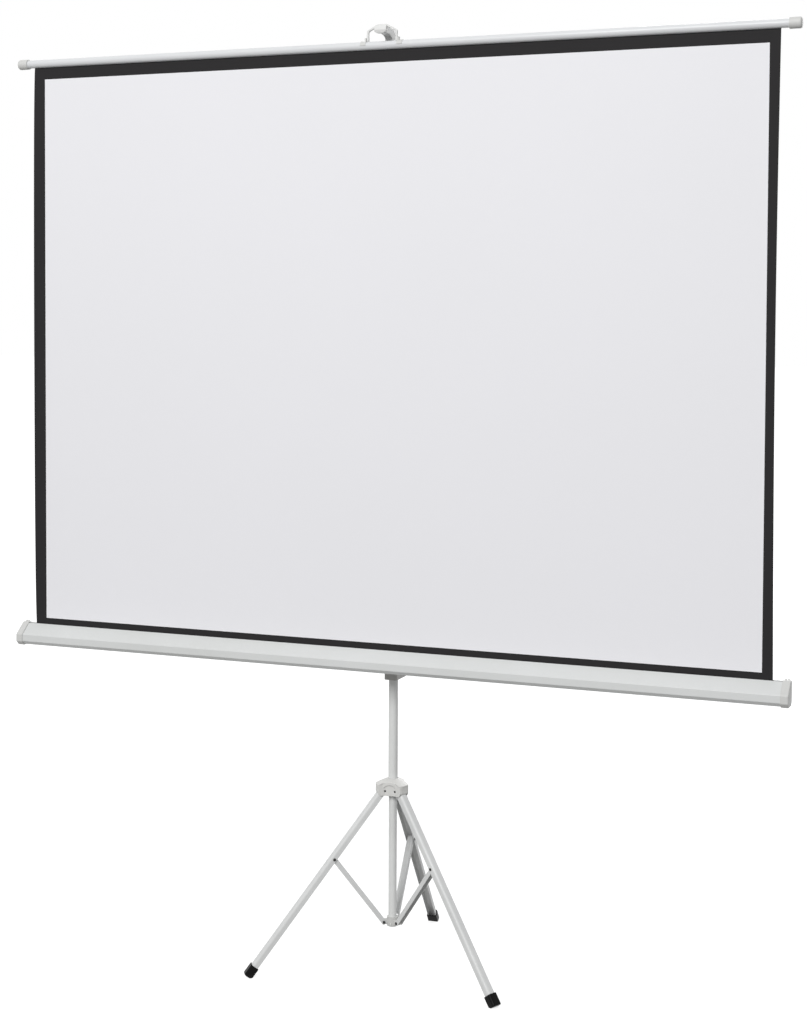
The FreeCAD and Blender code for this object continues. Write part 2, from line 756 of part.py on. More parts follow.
# The case is a folded metal shell, open along the slot at its top where the sheet comes out.
case_shell = node(body("case_shell"))
section = sketch(case_shell, "YZ_Plane")
draw_case(section)
pad(case_shell, section, CASE_LENGTH, both=True)
round_case(case_shell)
wall(case_shell, "d.case_wall", lambda face: faces_along(face, X_AXIS) or faces_along(face, -X_AXIS))
mouth = sketch(case_shell, "YZ_Plane")
rectangle(mouth, "-d.slot_front", "-d.slot_depth", "d.slot_back", "d.overrun")
pocket(case_shell, mouth, f"{CASE_LENGTH} + 2*d.overrun", both=True)
place(case_shell, "0", SCREEN_Y, "d.slot_height")

cap_screws = []
for side, sign in (("left", "-"), ("right", "")):
    outward = X_AXIS if side == "right" else -X_AXIS
    # A moulded cap grips the end of the case from outside and holds the roller's shaft.
    cap = node(body(f"end_cap_{side}"))
    cap_section = sketch(cap, "YZ_Plane")
    draw_case(cap_section)
    pad(cap, cap_section, "d.cap_grip", back=side == "left")
    round_case(cap)
    wall(cap, "d.cap_wall", lambda face: faces_along(face, -outward), inward=False)
    boss = sketch(cap, "YZ_Plane", f"{sign}d.cap_grip")
    circle(boss, "d.shaft_boss_diameter", ROLLER_Y, "-d.roller_drop")
    pad(cap, boss, "d.shaft_boss_length", back=side == "right")
    shaft_seat = sketch(cap, "YZ_Plane", f"{sign}d.cap_grip")
    circle(shaft_seat, "d.shaft_diameter + 2*d.seat_gap", ROLLER_Y, "-d.roller_drop")
    pocket(cap, shaft_seat, "d.shaft_boss_length + d.overrun", back=side == "left")
    screw_hole = sketch(cap, "XZ_Plane", "-d.case_back")
    circle(screw_hole, "d.cap_screw_diameter + 2*d.seat_gap", f"{sign}d.cap_grip/2", "-d.case_height/2")
    pocket(cap, screw_hole, "d.cap_wall + d.overrun")
    # An upright lug at the back of the cap has a hole to hang the closed case by.
    lug = sketch(cap, "XZ_Plane", "-d.case_back + d.case_back_run")
    lug_end = f"{sign}(d.cap_grip + d.cap_wall)"
    rectangle(lug, "0", "d.cap_wall/2", lug_end, "d.cap_lug_height")
    pad(cap, lug, "d.cap_lug_thickness")
    lug_top = value("d.cap_lug_height")
    fillet(cap, "d.cap_lug_round", lambda edge: runs_along(edge, Y_AXIS)
           and near(edge.BoundBox.ZMin, lug_top))
    lug_hole = sketch(cap, "XZ_Plane", "-d.case_back + d.case_back_run")
    circle(lug_hole, "d.cap_lug_hole_diameter", f"{lug_end}/2", "d.cap_wall/2 + d.cap_lug_hole_rise")
    pocket(cap, lug_hole, "d.cap_lug_thickness + d.overrun", back=True)
    place(cap, f"{sign or '+'}({CASE_LENGTH}/2 - d.cap_grip)", SCREEN_Y, "d.slot_height")
    screw = headed_pin(f"end_cap_screw_{side}", "d.cap_screw_head_diameter", "d.cap_screw_head_height",
                       "d.cap_screw_diameter", "d.cap_wall")
    place(screw, f"{sign or '+'}({CASE_LENGTH}/2 - d.cap_grip/2)", f"{SCREEN_Y} + d.case_back + d.cap_wall",
          "d.slot_height - d.case_height/2", roll="90")
    cap_screws.append(screw)
node(group("end_cap_screws", cap_screws))

# The roller turns on a fixed shaft, and a wound spring between the two pulls the sheet in.
ROLLER_PLACE = ("0", f"{SCREEN_Y} + {ROLLER_Y}", "d.slot_height - d.roller_drop")
ROLLER_BORE = "(d.roller_diameter - 2*d.roller_wall)"
shaft = node(primitive("Cylinder", "roller_shaft", Radius="d.shaft_diameter/2", Height=CASE_LENGTH))
place(shaft, f"-{CASE_LENGTH}/2", *ROLLER_PLACE[1:], pitch="90")
spring = node(tube("roller_spring", "YZ_Plane", "d.shaft_diameter + 2*d.seat_gap + 2*d.spring_wall",
                   "d.shaft_diameter + 2*d.seat_gap", "d.spring_length"))
place(spring, f"{ROLLER_LENGTH}/2 - d.roller_plug_length - d.spring_end_gap - d.spring_length",
      *ROLLER_PLACE[1:])
roller = node(tube("roller_tube", "YZ_Plane", "d.roller_diameter", ROLLER_BORE, ROLLER_LENGTH, both=True))
place(roller, *ROLLER_PLACE)
for side, sign in (("left", "-"), ("right", "+")):
    plug = node(tube(f"roller_plug_{side}", "YZ_Plane", f"{ROLLER_BORE} - 2*d.seat_gap",
                     "d.shaft_diameter + 2*d.pin_gap", "d.roller_plug_length", both=True))
    place(plug, f"{sign}({ROLLER_LENGTH} - d.roller_plug_length)/2", *ROLLER_PLACE[1:])
screen_roll = node(tube("screen_roll", "YZ_Plane", f"2*{ROLL_RADIUS}",
                        "d.roller_diameter + 2*d.seat_gap", FABRIC_WIDTH, both=True))
place(screen_roll, *ROLLER_PLACE)

# The sheet runs from the roller up through the slot to the top bar.
fabric_low = "(d.slot_height - d.roller_drop)"
fabric = node(primitive("Box", "screen_fabric", Length=FABRIC_WIDTH, Width="d.fabric_thickness",
                        Height=f"{BAR_BOTTOM} + d.bar_wall - d.slide_gap - {fabric_low}"))
place(fabric, f"-{FABRIC_WIDTH}/2", f"{SCREEN_Y} - d.fabric_thickness/2", fabric_low)

# The bracket slides on the main tube over a nylon bush and carries the case on a swivel bolt.
bracket = node(body("slide_bracket"))
block = sketch(bracket, "XY_Plane")
rectangle(block, "-d.bracket_width/2", "-d.bracket_front", "d.bracket_width/2", "d.bracket_back")
pad(bracket, block, "d.bracket_height")
fillet(bracket, "d.bracket_round", lambda edge: runs_along(edge, Z_AXIS))
SWIVEL_RISE = f"({SWIVEL_Z} - {BRACKET_Z})"
boss_end = "(d.screen_reach - d.case_back - d.plate_stand_off - d.swivel_washer_thickness)"
boss = sketch(bracket, "XZ_Plane", "d.bracket_front")
circle(boss, "d.swivel_boss_diameter", "0", SWIVEL_RISE)
pad(bracket, boss, f"{boss_end} - d.bracket_front")
bolt_hole = sketch(bracket, "XZ_Plane", boss_end)
circle(bolt_hole, "d.swivel_bolt_diameter + 2*d.seat_gap", "0", SWIVEL_RISE)
pocket(bracket, bolt_hole, "d.swivel_bolt_grip + d.overrun")
bush_diameter = "(d.main_tube_diameter + 2*d.slide_gap + 2*d.bush_wall)"
bore = sketch(bracket, "XY_Plane")
circle(bore, f"{bush_diameter} + 2*d.seat_gap")
pocket(bracket, bore, "d.bracket_height + d.overrun", back=True)
lock_hole = sketch(bracket, "XZ_Plane")
circle(lock_hole, "d.lock_screw_diameter + 2*d.pin_gap", "0", "d.height_lock_rise")
pocket(bracket, lock_hole, "d.bracket_back + d.overrun")
place(bracket, "d.mast_x", "d.mast_y", BRACKET_Z)

bush = node(tube("bracket_bush", "XY_Plane", bush_diameter, "d.main_tube_diameter + 2*d.slide_gap",
                 "d.bracket_height"))
bush_hole = sketch(bush, "XZ_Plane")
circle(bush_hole, "d.lock_screw_diameter + 2*d.pin_gap", "0", "d.height_lock_rise")
pocket(bush, bush_hole, "d.main_tube_diameter")
place(bush, "d.mast_x", "d.mast_y", BRACKET_Z)

# A hat-shaped plate on the back of the case leaves room for the head of the swivel bolt.
CASE_BACK_Y = f"({SCREEN_Y} + d.case_back)"
plate = node(body("swivel_plate"))
hat = sketch(plate, "XY_Plane", "-d.plate_height/2")
crown = "(d.plate_half_crown - d.plate_thickness)"
under = "(d.plate_stand_off - d.plate_thickness)"
polygon(hat, [
    ("-d.plate_half_width", "0"),
    (f"-{crown}", "0"),
    (f"-{crown}", under),
    (crown, under),
    (crown, "0"),
    ("d.plate_half_width", "0"),
    ("d.plate_half_width", "d.plate_thickness"),
    ("d.plate_half_crown", "d.plate_thickness"),
    ("d.plate_half_crown", "d.plate_stand_off"),
    ("-d.plate_half_crown", "d.plate_stand_off"),
    ("-d.plate_half_crown", "d.plate_thickness"),
    ("-d.plate_half_width", "d.plate_thickness"),
])
pad(plate, hat, "d.plate_height")
plate_holes = sketch(plate, "XZ_Plane")
circle(plate_holes, "d.swivel_bolt_diameter + 2*d.seat_gap")
plate_screw_places = [(f"{a}d.plate_screw_spread/2", f"{b}d.plate_screw_pitch/2")
                      for a in ("-", "") for b in ("-", "")]
for x, z in plate_screw_places:
    circle(plate_holes, "d.plate_screw_diameter + 2*d.seat_gap", x, z)
pocket(plate, plate_holes, "d.plate_stand_off + d.overrun")
place(plate, "d.mast_x", CASE_BACK_Y, SWIVEL_Z)

plate_screws = []
for number, (x, z) in enumerate(plate_screw_places, 1):
    screw = headed_pin(f"plate_screw_{number}", "d.plate_screw_head_diameter", "d.plate_screw_head_height",
                       "d.plate_screw_diameter", "d.plate_thickness")
    place(screw, f"d.mast_x + {x}", f"{CASE_BACK_Y} + d.plate_thickness", f"{SWIVEL_Z} + {z}", roll="90")
    plate_screws.append(screw)
node(group("plate_screws", plate_screws))

washer = node(tube("swivel_washer", "XY_Plane", "d.swivel_washer_diameter",
                   "d.swivel_bolt_diameter + 2*d.seat_gap", "d.swivel_washer_thickness"))
place(washer, "d.mast_x", f"{CASE_BACK_Y} + d.plate_stand_off", SWIVEL_Z, roll="-90")
bolt = node(headed_pin("swivel_bolt", "d.swivel_head_diameter", "d.swivel_head_height",
                       "d.swivel_bolt_diameter",
                       "d.plate_thickness + d.swivel_washer_thickness + d.swivel_bolt_grip"))
place(bolt, "d.mast_x", f"{CASE_BACK_Y} + {under}", SWIVEL_Z, roll="-90")


def make_lock(name, reach, tip, z):
    """A scalloped knob behind the mast, with its screw running forward to the tube."""
    knob = node(body(f"{name}_knob"))
    stem = sketch(knob, "XY_Plane")
    circle(stem, "d.knob_neck_diameter")
    pad(knob, stem, "d.knob_neck_length")
    disc = sketch(knob, "XY_Plane", "d.knob_neck_length")
    circle(disc, "2*d.knob_radius")
    pad(knob, disc, "d.knob_thickness")
    scallop = sketch(knob, "XY_Plane", "d.knob_neck_length")
    circle(scallop, "d.knob_scallop_diameter", "d.knob_scallop_radius")
    cut = pocket(knob, scallop, "d.knob_thickness + d.overrun", back=True)
    polar(knob, [cut], 6)
    rim_low = value("d.knob_neck_length")
    rim_high = value("d.knob_neck_length + d.knob_thickness")
    fillet(knob, "d.knob_round", lambda edge: near(edge.BoundBox.ZLength, 0)
           and (near(edge.BoundBox.ZMax, rim_high) or near(edge.BoundBox.ZMax, rim_low))
           and edge.BoundBox.DiagonalLength < value("d.knob_radius")
           and edge.CenterOfMass.Length > value("d.knob_neck_diameter/2 + d.knob_round"))
    bore = sketch(knob, "XY_Plane")
    circle(bore, "d.lock_screw_diameter + 2*d.seat_gap")
    pocket(knob, bore, "d.knob_neck_length + d.knob_thickness/2", back=True)
    place(knob, "d.mast_x", f"d.mast_y + {reach} + d.knob_gap", z, roll="-90")
    screw_length = f"{reach} + d.knob_gap + d.knob_neck_length + d.knob_thickness/2 - {tip}"
    screw = node(primitive("Cylinder", f"{name}_screw", Radius="d.lock_screw_diameter/2",
                           Height=screw_length))
    place(screw, "d.mast_x", f"d.mast_y + {tip}", z, roll="-90")


make_lock("height", "d.bracket_back", "(d.main_tube_diameter/2 + d.slide_gap)",
          f"{BRACKET_Z} + d.height_lock_rise")
make_lock("extension", "d.collar_boss_reach", "(d.extension_tube_diameter/2 + d.slide_gap)",
          f"{MAIN_TOP} + d.collar_lock_rise")

# The extension tube carries the hook that the screen hangs on.
extension = node(tube("extension_tube", "XY_Plane", "d.extension_tube_diameter",
                      "d.extension_tube_diameter - 2*d.extension_tube_wall", "d.extension_tube_length"))
place(extension, "d.mast_x", "d.mast_y", f"{BAR_TOP} + d.hook_socket_rise - d.extension_tube_length")

hook = node(body("hook"))
saddle_z = "(d.bail_pivot_rise + d.bail_rise - d.bail_thickness - d.hook_saddle_gap)"
saddle_half = "(d.bail_depth/2 + d.hook_saddle_play)"
saddle_back = f"(-d.screen_reach + {saddle_half})"
saddle_front = f"(-d.screen_reach - {saddle_half})"
block_side = sketch(hook, "YZ_Plane")
polygon(block_side, [
    ("d.hook_block_depth", "-d.hook_block_drop"),
    ("d.hook_block_depth", "d.hook_block_rise"),
    ("-d.hook_block_depth", saddle_z),
    ("-d.hook_block_depth", "-d.hook_block_drop"),
])
pad(hook, block_side, "d.hook_width", both=True)
# A narrow arm runs forward through the bail, which rests in the saddle behind the beak.
arm_side = sketch(hook, "YZ_Plane")
polygon(arm_side, [
    ("0", "-d.hook_root_drop"),
    ("0", "d.hook_block_rise"),
    ("-d.hook_block_depth", saddle_z),
    (f"{saddle_back} + d.hook_lip", f"{saddle_z} + d.hook_back_rise"),
    (saddle_back, f"{saddle_z} + d.hook_back_rise"),
    (saddle_back, saddle_z),
    (f"{saddle_front} - d.hook_lip/2", saddle_z),
    (f"{saddle_front} - d.hook_lip/2", f"{saddle_z} - d.hook_nose_drop/2"),
    ("-d.screen_reach + d.hook_arm_run", f"{saddle_z} - d.hook_arm_depth"),
    ("-d.hook_block_depth", "-d.hook_root_drop"),
])
pad(hook, arm_side, "d.hook_arm_width", both=True)
beak_side = sketch(hook, "YZ_Plane")
polygon(beak_side, [
    (saddle_front, f"{saddle_z} + d.hook_horn_rise"),
    (f"{saddle_front} - d.hook_lip", f"{saddle_z} + d.hook_horn_rise"),
    (f"{saddle_front} - d.hook_nose", f"{saddle_z} - d.hook_nose_drop/2"),
    (f"{saddle_front} - d.hook_lip", f"{saddle_z} - d.hook_nose_drop"),
    (saddle_front, f"{saddle_z} - d.hook_nose_drop"),
])
pad(hook, beak_side, "d.hook_beak_width", both=True)
hook_sides = (value("d.hook_width/2"), value("d.hook_beak_width/2"))
fillet(hook, "d.hook_round", lambda edge: near(edge.BoundBox.XLength, 0)
       and any(near(abs(edge.BoundBox.XMin), side) for side in hook_sides))
socket = sketch(hook, "XY_Plane", "d.hook_socket_rise")
circle(socket, "d.extension_tube_diameter + 2*d.seat_gap")
pocket(hook, socket, "d.hook_socket_rise + d.hook_block_drop + d.overrun")
screw_hole = sketch(hook, "XZ_Plane")
circle(screw_hole, "d.hook_screw_diameter + 2*d.seat_gap", "0", "-d.hook_screw_drop")
pocket(hook, screw_hole, "d.hook_block_depth + d.overrun")
place(hook, "d.mast_x", "d.mast_y", BAR_TOP)
hook_screw = node(headed_pin("hook_screw", "d.hook_screw_head_diameter", "d.hook_screw_head_height",
                             "d.hook_screw_diameter",
                             "d.hook_block_depth - d.extension_tube_diameter/2 - d.seat_gap"))
place(hook_screw, "d.mast_x", "d.mast_y + d.hook_block_depth", f"{BAR_TOP} - d.hook_screw_drop", roll="90")

# The top bar is a slit tube: the welted edge of the sheet is held in it by a rod.
BAR_LENGTH = f"({FABRIC_WIDTH} + 2*d.bar_overhang)"
top_bar = node(tube("top_bar", "YZ_Plane", "d.bar_diameter", "d.bar_diameter - 2*d.bar_wall",
                    BAR_LENGTH, both=True))
slit = sketch(top_bar, "YZ_Plane")
slit_half = "(d.fabric_thickness/2 + d.slide_gap)"
rectangle(slit, f"-{slit_half}", "-d.bar_diameter/2 - d.overrun", slit_half, "-d.bar_diameter/4")
pocket(top_bar, slit, f"{BAR_LENGTH} + 2*d.overrun", both=True)
place(top_bar, "0", SCREEN_Y, BAR_AXIS)
rod = node(primitive("Cylinder", "fabric_rod", Radius="d.fabric_rod_diameter/2", Height=FABRIC_WIDTH))
place(rod, f"-{FABRIC_WIDTH}/2", SCREEN_Y,
      f"{BAR_BOTTOM} + d.bar_wall + d.seat_gap + d.fabric_rod_diameter/2", pitch="90")

for side, sign, yaw in (("left", "-", "180"), ("right", "+", "0")):
    bar_cap = node(body(f"bar_cap_{side}"))
    round_end = sketch(bar_cap, "YZ_Plane")
    circle(round_end, "d.bar_cap_diameter")
    pad(bar_cap, round_end, "d.bar_cap_length", back=True)
    fillet(bar_cap, "d.bar_cap_round", lambda edge: near(edge.BoundBox.XMax, 0)
           and near(edge.BoundBox.XMin, 0))
    bar_seat = sketch(bar_cap, "YZ_Plane", "-d.bar_cap_floor")
    circle(bar_seat, "d.bar_diameter + 2*d.seat_gap")
    pocket(bar_cap, bar_seat, "d.bar_cap_length")
    notch = sketch(bar_cap, "XY_Plane", "d.bar_cap_diameter/2")
    notch_start = "(-d.bar_cap_length + d.bar_notch_inset)"
    rectangle(notch, notch_start, "-d.bar_notch_width/2",
              f"{notch_start} + d.bar_notch_length", "d.bar_notch_width/2")
    pocket(bar_cap, notch, "(d.bar_cap_diameter - d.bar_diameter)/2")
    place(bar_cap, f"{sign}({BAR_LENGTH}/2 + d.bar_cap_floor)", SCREEN_Y, BAR_AXIS, yaw=yaw)

# The bail swings on two clips that are set over the middle of the top bar.
bail = node(body("bail"))
loop = sketch(bail, "XZ_Plane")
inner_half = "(d.bail_width/2 - d.bail_thickness)"
inner_top = "(d.bail_top_width/2 - d.bail_thickness/3)"
polygon(loop, [
    ("-d.bail_width/2", "-d.bail_foot"),
    ("-d.bail_width/2", "d.bail_shoulder_rise"),
    ("-d.bail_top_width/2", "d.bail_rise"),
    ("d.bail_top_width/2", "d.bail_rise"),
    ("d.bail_width/2", "d.bail_shoulder_rise"),
    ("d.bail_width/2", "-d.bail_foot"),
    (inner_half, "-d.bail_foot"),
    (inner_half, "d.bail_shoulder_rise - d.bail_thickness/2"),
    (inner_top, "d.bail_rise - d.bail_thickness"),
    (f"-{inner_top}", "d.bail_rise - d.bail_thickness"),
    (f"-{inner_half}", "d.bail_shoulder_rise - d.bail_thickness/2"),
    (f"-{inner_half}", "-d.bail_foot"),
])
pad(bail, loop, "d.bail_depth", both=True)
fillet(bail, "d.bail_bend_round", lambda edge: runs_along(edge, Y_AXIS) and edge.BoundBox.ZMin > 0)
fillet(bail, "d.bail_round", lambda edge: near(edge.BoundBox.YLength, 0)
       and edge.Length > value("d.bail_thickness + d.pin_gap"))
pivot_hole = sketch(bail, "YZ_Plane")
circle(pivot_hole, "d.bail_pin_diameter + 2*d.pin_gap")
pocket(bail, pivot_hole, "d.bail_width + 2*d.overrun", both=True)
BAIL_PIVOT_Z = f"({BAR_TOP} + d.bail_pivot_rise)"
place(bail, "d.mast_x", SCREEN_Y, BAIL_PIVOT_Z)

clips = []
for side, sign, yaw in (("left", "-", "180"), ("right", "+", "0")):
    clip = body(f"bail_clip_{side}")
    saddle = sketch(clip, "YZ_Plane")
    circle(saddle, "d.bar_diameter + 2*d.clip_thickness")
    pad(clip, saddle, "d.clip_length")
    lug = sketch(clip, "YZ_Plane")
    rectangle(lug, "-d.clip_lug_depth/2", "0", "d.clip_lug_depth/2",
              "d.bar_diameter/2 + d.bail_pivot_rise + d.clip_lug_head")
    pad(clip, lug, "d.clip_lug_length")
    bar_hole = sketch(clip, "YZ_Plane")
    circle(bar_hole, "d.bar_diameter + 2*d.seat_gap")
    pocket(clip, bar_hole, "d.clip_length + d.overrun", back=True)
    lower_half = sketch(clip, "YZ_Plane")
    rectangle(lower_half, "-d.bar_diameter", "-d.bar_diameter", "d.bar_diameter", "0")
    pocket(clip, lower_half, "d.clip_length + d.overrun", back=True)
    pin = sketch(clip, "YZ_Plane")
    circle(pin, "d.bail_pin_diameter", "0", "d.bar_diameter/2 + d.bail_pivot_rise")
    pad(clip, pin, "d.clip_gap + d.bail_thickness", back=True)
    place(clip, f"d.mast_x {sign} (d.bail_width/2 + d.clip_gap)", SCREEN_Y, BAR_AXIS, yaw=yaw)
    clips.append(clip)
node(group("bail_clips", clips))

doc.recompute()
for thing in doc.Objects:
    if "Invalid" in thing.State or "Error" in thing.State:
        raise RuntimeError(f"{thing.Label} failed: {thing.State}")
for thing in nodes:
    if thing.Shape.isNull() or not thing.Shape.isValid() or not thing.Shape.Solids:
        raise RuntimeError(f"{thing.Label} has no valid solid")

os.makedirs("parts", exist_ok=True)
for thing in nodes:
    thing.Shape.exportStep(f"parts/{thing.Label}.step")
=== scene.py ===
import math

import bmesh
import bpy
from mathutils import Matrix, Vector


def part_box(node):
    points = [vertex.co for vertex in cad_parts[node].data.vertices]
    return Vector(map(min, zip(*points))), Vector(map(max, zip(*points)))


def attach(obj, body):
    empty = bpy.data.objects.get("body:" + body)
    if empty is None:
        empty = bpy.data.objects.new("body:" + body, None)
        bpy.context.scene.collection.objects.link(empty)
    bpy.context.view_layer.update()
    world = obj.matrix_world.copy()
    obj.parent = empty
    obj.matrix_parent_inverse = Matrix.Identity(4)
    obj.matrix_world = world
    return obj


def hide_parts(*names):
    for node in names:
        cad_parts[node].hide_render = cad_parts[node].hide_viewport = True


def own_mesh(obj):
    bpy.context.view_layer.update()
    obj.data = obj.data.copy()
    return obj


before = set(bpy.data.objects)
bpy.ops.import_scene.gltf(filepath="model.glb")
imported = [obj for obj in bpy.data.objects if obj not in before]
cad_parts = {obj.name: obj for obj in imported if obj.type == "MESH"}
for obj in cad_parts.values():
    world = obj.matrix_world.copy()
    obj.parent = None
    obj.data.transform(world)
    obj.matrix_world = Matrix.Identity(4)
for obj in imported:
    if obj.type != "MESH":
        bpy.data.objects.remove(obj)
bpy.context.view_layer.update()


# The mast is three drawn steel tubes: a fixed outer tube, a lower tube that slides in its foot
# and an extension tube that slides in its head. They carry a pale grey enamel, baked on, that is
# smooth but for a slight orange peel and a little cloudiness where hands have been.
NUMBER = "NodeSocketFloat"
PEEL_RELIEF = ("Peel", 0.12, 0.0002)
ENAMEL_GLOSS = 0.35
ENAMEL_COAT = 0.08
ENAMEL_COAT_ROUGHNESS = 0.18


def put(tree, kind, inputs=None, **settings):
    """Adds a node to a tree. Each input is a plain value or the output socket that feeds it."""
    made = tree.nodes.new(kind)
    for name, setting in settings.items():
        setattr(made, name, setting)
    for key, given in (inputs or {}).items():
        if isinstance(given, bpy.types.NodeSocket):
            tree.links.new(given, made.inputs[key])
        else:
            made.inputs[key].default_value = given
    return made


def new_tree(name, kind, inputs, outputs):
    """A node group with its sockets, each given as its name, type and first value."""
    tree = bpy.data.node_groups.new(name, kind)
    for side, sockets in (("INPUT", inputs), ("OUTPUT", outputs)):
        for socket_name, (socket_kind, first) in sockets.items():
            made = tree.interface.new_socket(socket_name, in_out=side, socket_type=socket_kind)
            if first is not None:
                made.default_value = first
    return tree, put(tree, "NodeGroupInput"), put(tree, "NodeGroupOutput")


def coat(name, group, colours, roughness_range, relief, colour_by="Clouds", roughness_by="Clouds"):
    """A material over a group of surface effects. Two of the group's masks blend its two colours
    and spread its roughness, and relief gives the output, the strength and the depth of its bump."""
    material = bpy.data.materials.new(name)
    material.use_nodes = True
    tree = material.node_tree
    shader = tree.nodes["Principled BSDF"]
    effect = put(tree, "ShaderNodeGroup", node_tree=group)
    first, second = colours
    blend = put(tree, "ShaderNodeMixRGB", {
        "Fac": effect.outputs[colour_by], "Color1": (*first, 1), "Color2": (*second, 1)})
    smoothest, roughest = roughness_range
    spread = put(tree, "ShaderNodeMapRange", {
        "Value": effect.outputs[roughness_by], "To Min": smoothest, "To Max": roughest})
    height, strength, depth = relief
    bump = put(tree, "ShaderNodeBump", {
        "Height": effect.outputs[height], "Strength": strength, "Distance": depth})
    tree.links.new(blend.outputs["Color"], shader.inputs["Base Color"])
    tree.links.new(spread.outputs["Result"], shader.inputs["Roughness"])
    tree.links.new(bump.outputs["Normal"], shader.inputs["Normal"])
    return material, shader, effect


paint_film, film_in, film_out = new_tree(
    "paint_film", "ShaderNodeTree",
    {"Peel per metre": (NUMBER, 600.0), "Clouds per metre": (NUMBER, 5.0)},
    {"Peel": (NUMBER, None), "Clouds": (NUMBER, None)},
)
film_place = put(paint_film, "ShaderNodeTexCoord").outputs["Object"]
film_peel = put(paint_film, "ShaderNodeTexNoise", {
    "Vector": film_place, "Scale": film_in.outputs["Peel per metre"], "Detail": 2.0, "Roughness": 0.45})
film_clouds = put(paint_film, "ShaderNodeTexNoise", {
    "Vector": film_place, "Scale": film_in.outputs["Clouds per metre"], "Detail": 4.0, "Roughness": 0.6})
film_range = put(paint_film, "ShaderNodeMapRange", {
    "Value": film_clouds.outputs["Fac"], "From Min": 0.35, "From Max": 0.7})
paint_film.links.new(film_peel.outputs["Fac"], film_out.inputs["Peel"])
paint_film.links.new(film_range.outputs["Result"], film_out.inputs["Clouds"])


def enamel(name, colours, roughness_range, clouds_per_metre):
    """Baked paint on metal. Its clouds run from the clean colour to the dulled one."""
    material, shader, film = coat(name, paint_film, colours, roughness_range, PEEL_RELIEF)
    film.inputs["Clouds per metre"].default_value = clouds_per_metre
    shader.inputs["Specular IOR Level"].default_value = ENAMEL_GLOSS
    shader.inputs["Coat Weight"].default_value = ENAMEL_COAT
    shader.inputs["Coat Roughness"].default_value = ENAMEL_COAT_ROUGHNESS
    return material


def dress(material, *names):
    """Gives CAD nodes their finish."""
    for name in names:
        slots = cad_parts[name].data.materials
        slots.clear()
        slots.append(material)


mast_enamel = enamel("mast_enamel", ((0.77, 0.775, 0.765), (0.72, 0.725, 0.715)), (0.34, 0.46), 9.0)
dress(mast_enamel, "main_tube", "lower_tube", "extension_tube")


# The leg hub is one moulding of pale plastic, pushed on the mast. A low conical hood slopes from
# the mast to the ends of three lobes, where the heads of the legs turn in slots, and its rim
# arches over a flat panel on each side. The mould leaves a fine spark-eroded grain.
LEG_SIDES = ("rear", "left", "right")
MOULD_RELIEF = ("Grain", 0.25, 0.0001)
# The hub's distances are from the mast's axis, and its heights from the axis of the leg pins.
MAST_BORE = 0.0252
PIN_DISTANCE = 0.025
PIN_HOLE = 0.0051
HUB_FOOT = -0.0128
HOOD_TOP = 0.0318
HOOD_NECK = 0.0145
HOOD_REACH = 0.040
HOOD_FLAT = 0.0293
PANEL_FLAT = 0.0265
ARCH_RADIUS = 0.022
ARCH_CROWN = 0.0165
LOBE_REACH = 0.0465
LOBE_EAVE = 0.0178
LOBE_FOOT = -0.005
LOBE_HEEL = 0.038
ROOF_THICKNESS = 0.004
ROOF_WIDTH = 0.036
CHEEK_WIDTH = 0.032
SLOT_WIDTH = 0.025
SLOT_ROOT = 0.0146
SLOT_RADIUS = 0.0154
SLOT_ARC_END = 60
SLOT_ARC_STEP = 15
LEG_FACE = 0.0128
ROUGH_EXCESS = 0.005
FAR = 0.1
ROUND_STEPS = 96
HUB_VOXEL = 0.0009
HUB_SMOOTHING = 5
mould_grain, grain_in, grain_out = new_tree(
    "mould_grain", "ShaderNodeTree",
    {"Grain per metre": (NUMBER, 1600.0), "Clouds per metre": (NUMBER, 20.0)},
    {"Grain": (NUMBER, None), "Clouds": (NUMBER, None)},
)
grain_place = put(mould_grain, "ShaderNodeTexCoord").outputs["Object"]
grain_pits = put(mould_grain, "ShaderNodeTexVoronoi", {
    "Vector": grain_place, "Scale": grain_in.outputs["Grain per metre"]}, feature="SMOOTH_F1")
grain_clouds = put(mould_grain, "ShaderNodeTexNoise", {
    "Vector": grain_place, "Scale": grain_in.outputs["Clouds per metre"], "Detail": 3.0})
mould_grain.links.new(grain_pits.outputs["Distance"], grain_out.inputs["Grain"])
mould_grain.links.new(grain_clouds.outputs["Fac"], grain_out.inputs["Clouds"])


def moulding(name, colours, roughness_range, gloss):
    """Moulded plastic with its grain. A gloss of 0.5 is that of bare plastic."""
    material, shader, _ = coat(name, mould_grain, colours, roughness_range, MOULD_RELIEF)
    shader.inputs["Specular IOR Level"].default_value = gloss
    return material


def add(name, data):
    """Puts a new object in the scene."""
    thing = bpy.data.objects.new(name, data)
    bpy.context.scene.collection.objects.link(thing)
    return thing


def middle(node):
    """The middle of a CAD node's box."""
    low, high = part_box(node)
    return (low + high) / 2


def slab(name, outline, sweep):
    """A solid whose outline, a ring of points, is drawn out along a sweep, half to each side."""
    mesh = bpy.data.meshes.new(name)
    near = [Vector(point) - Vector(sweep) / 2 for point in outline]
    far = [point + Vector(sweep) for point in near]
    count = len(outline)
    ring = [(i, (i + 1) % count, (i + 1) % count + count, i + count) for i in range(count)]
    mesh.from_pydata(near + far, [], [tuple(range(count))[::-1], tuple(range(count, 2 * count)), *ring])
    shape = bmesh.new()
    shape.from_mesh(mesh)
    bmesh.ops.recalc_face_normals(shape, faces=shape.faces)
    shape.to_mesh(mesh)
    shape.free()
    return add(name, mesh)


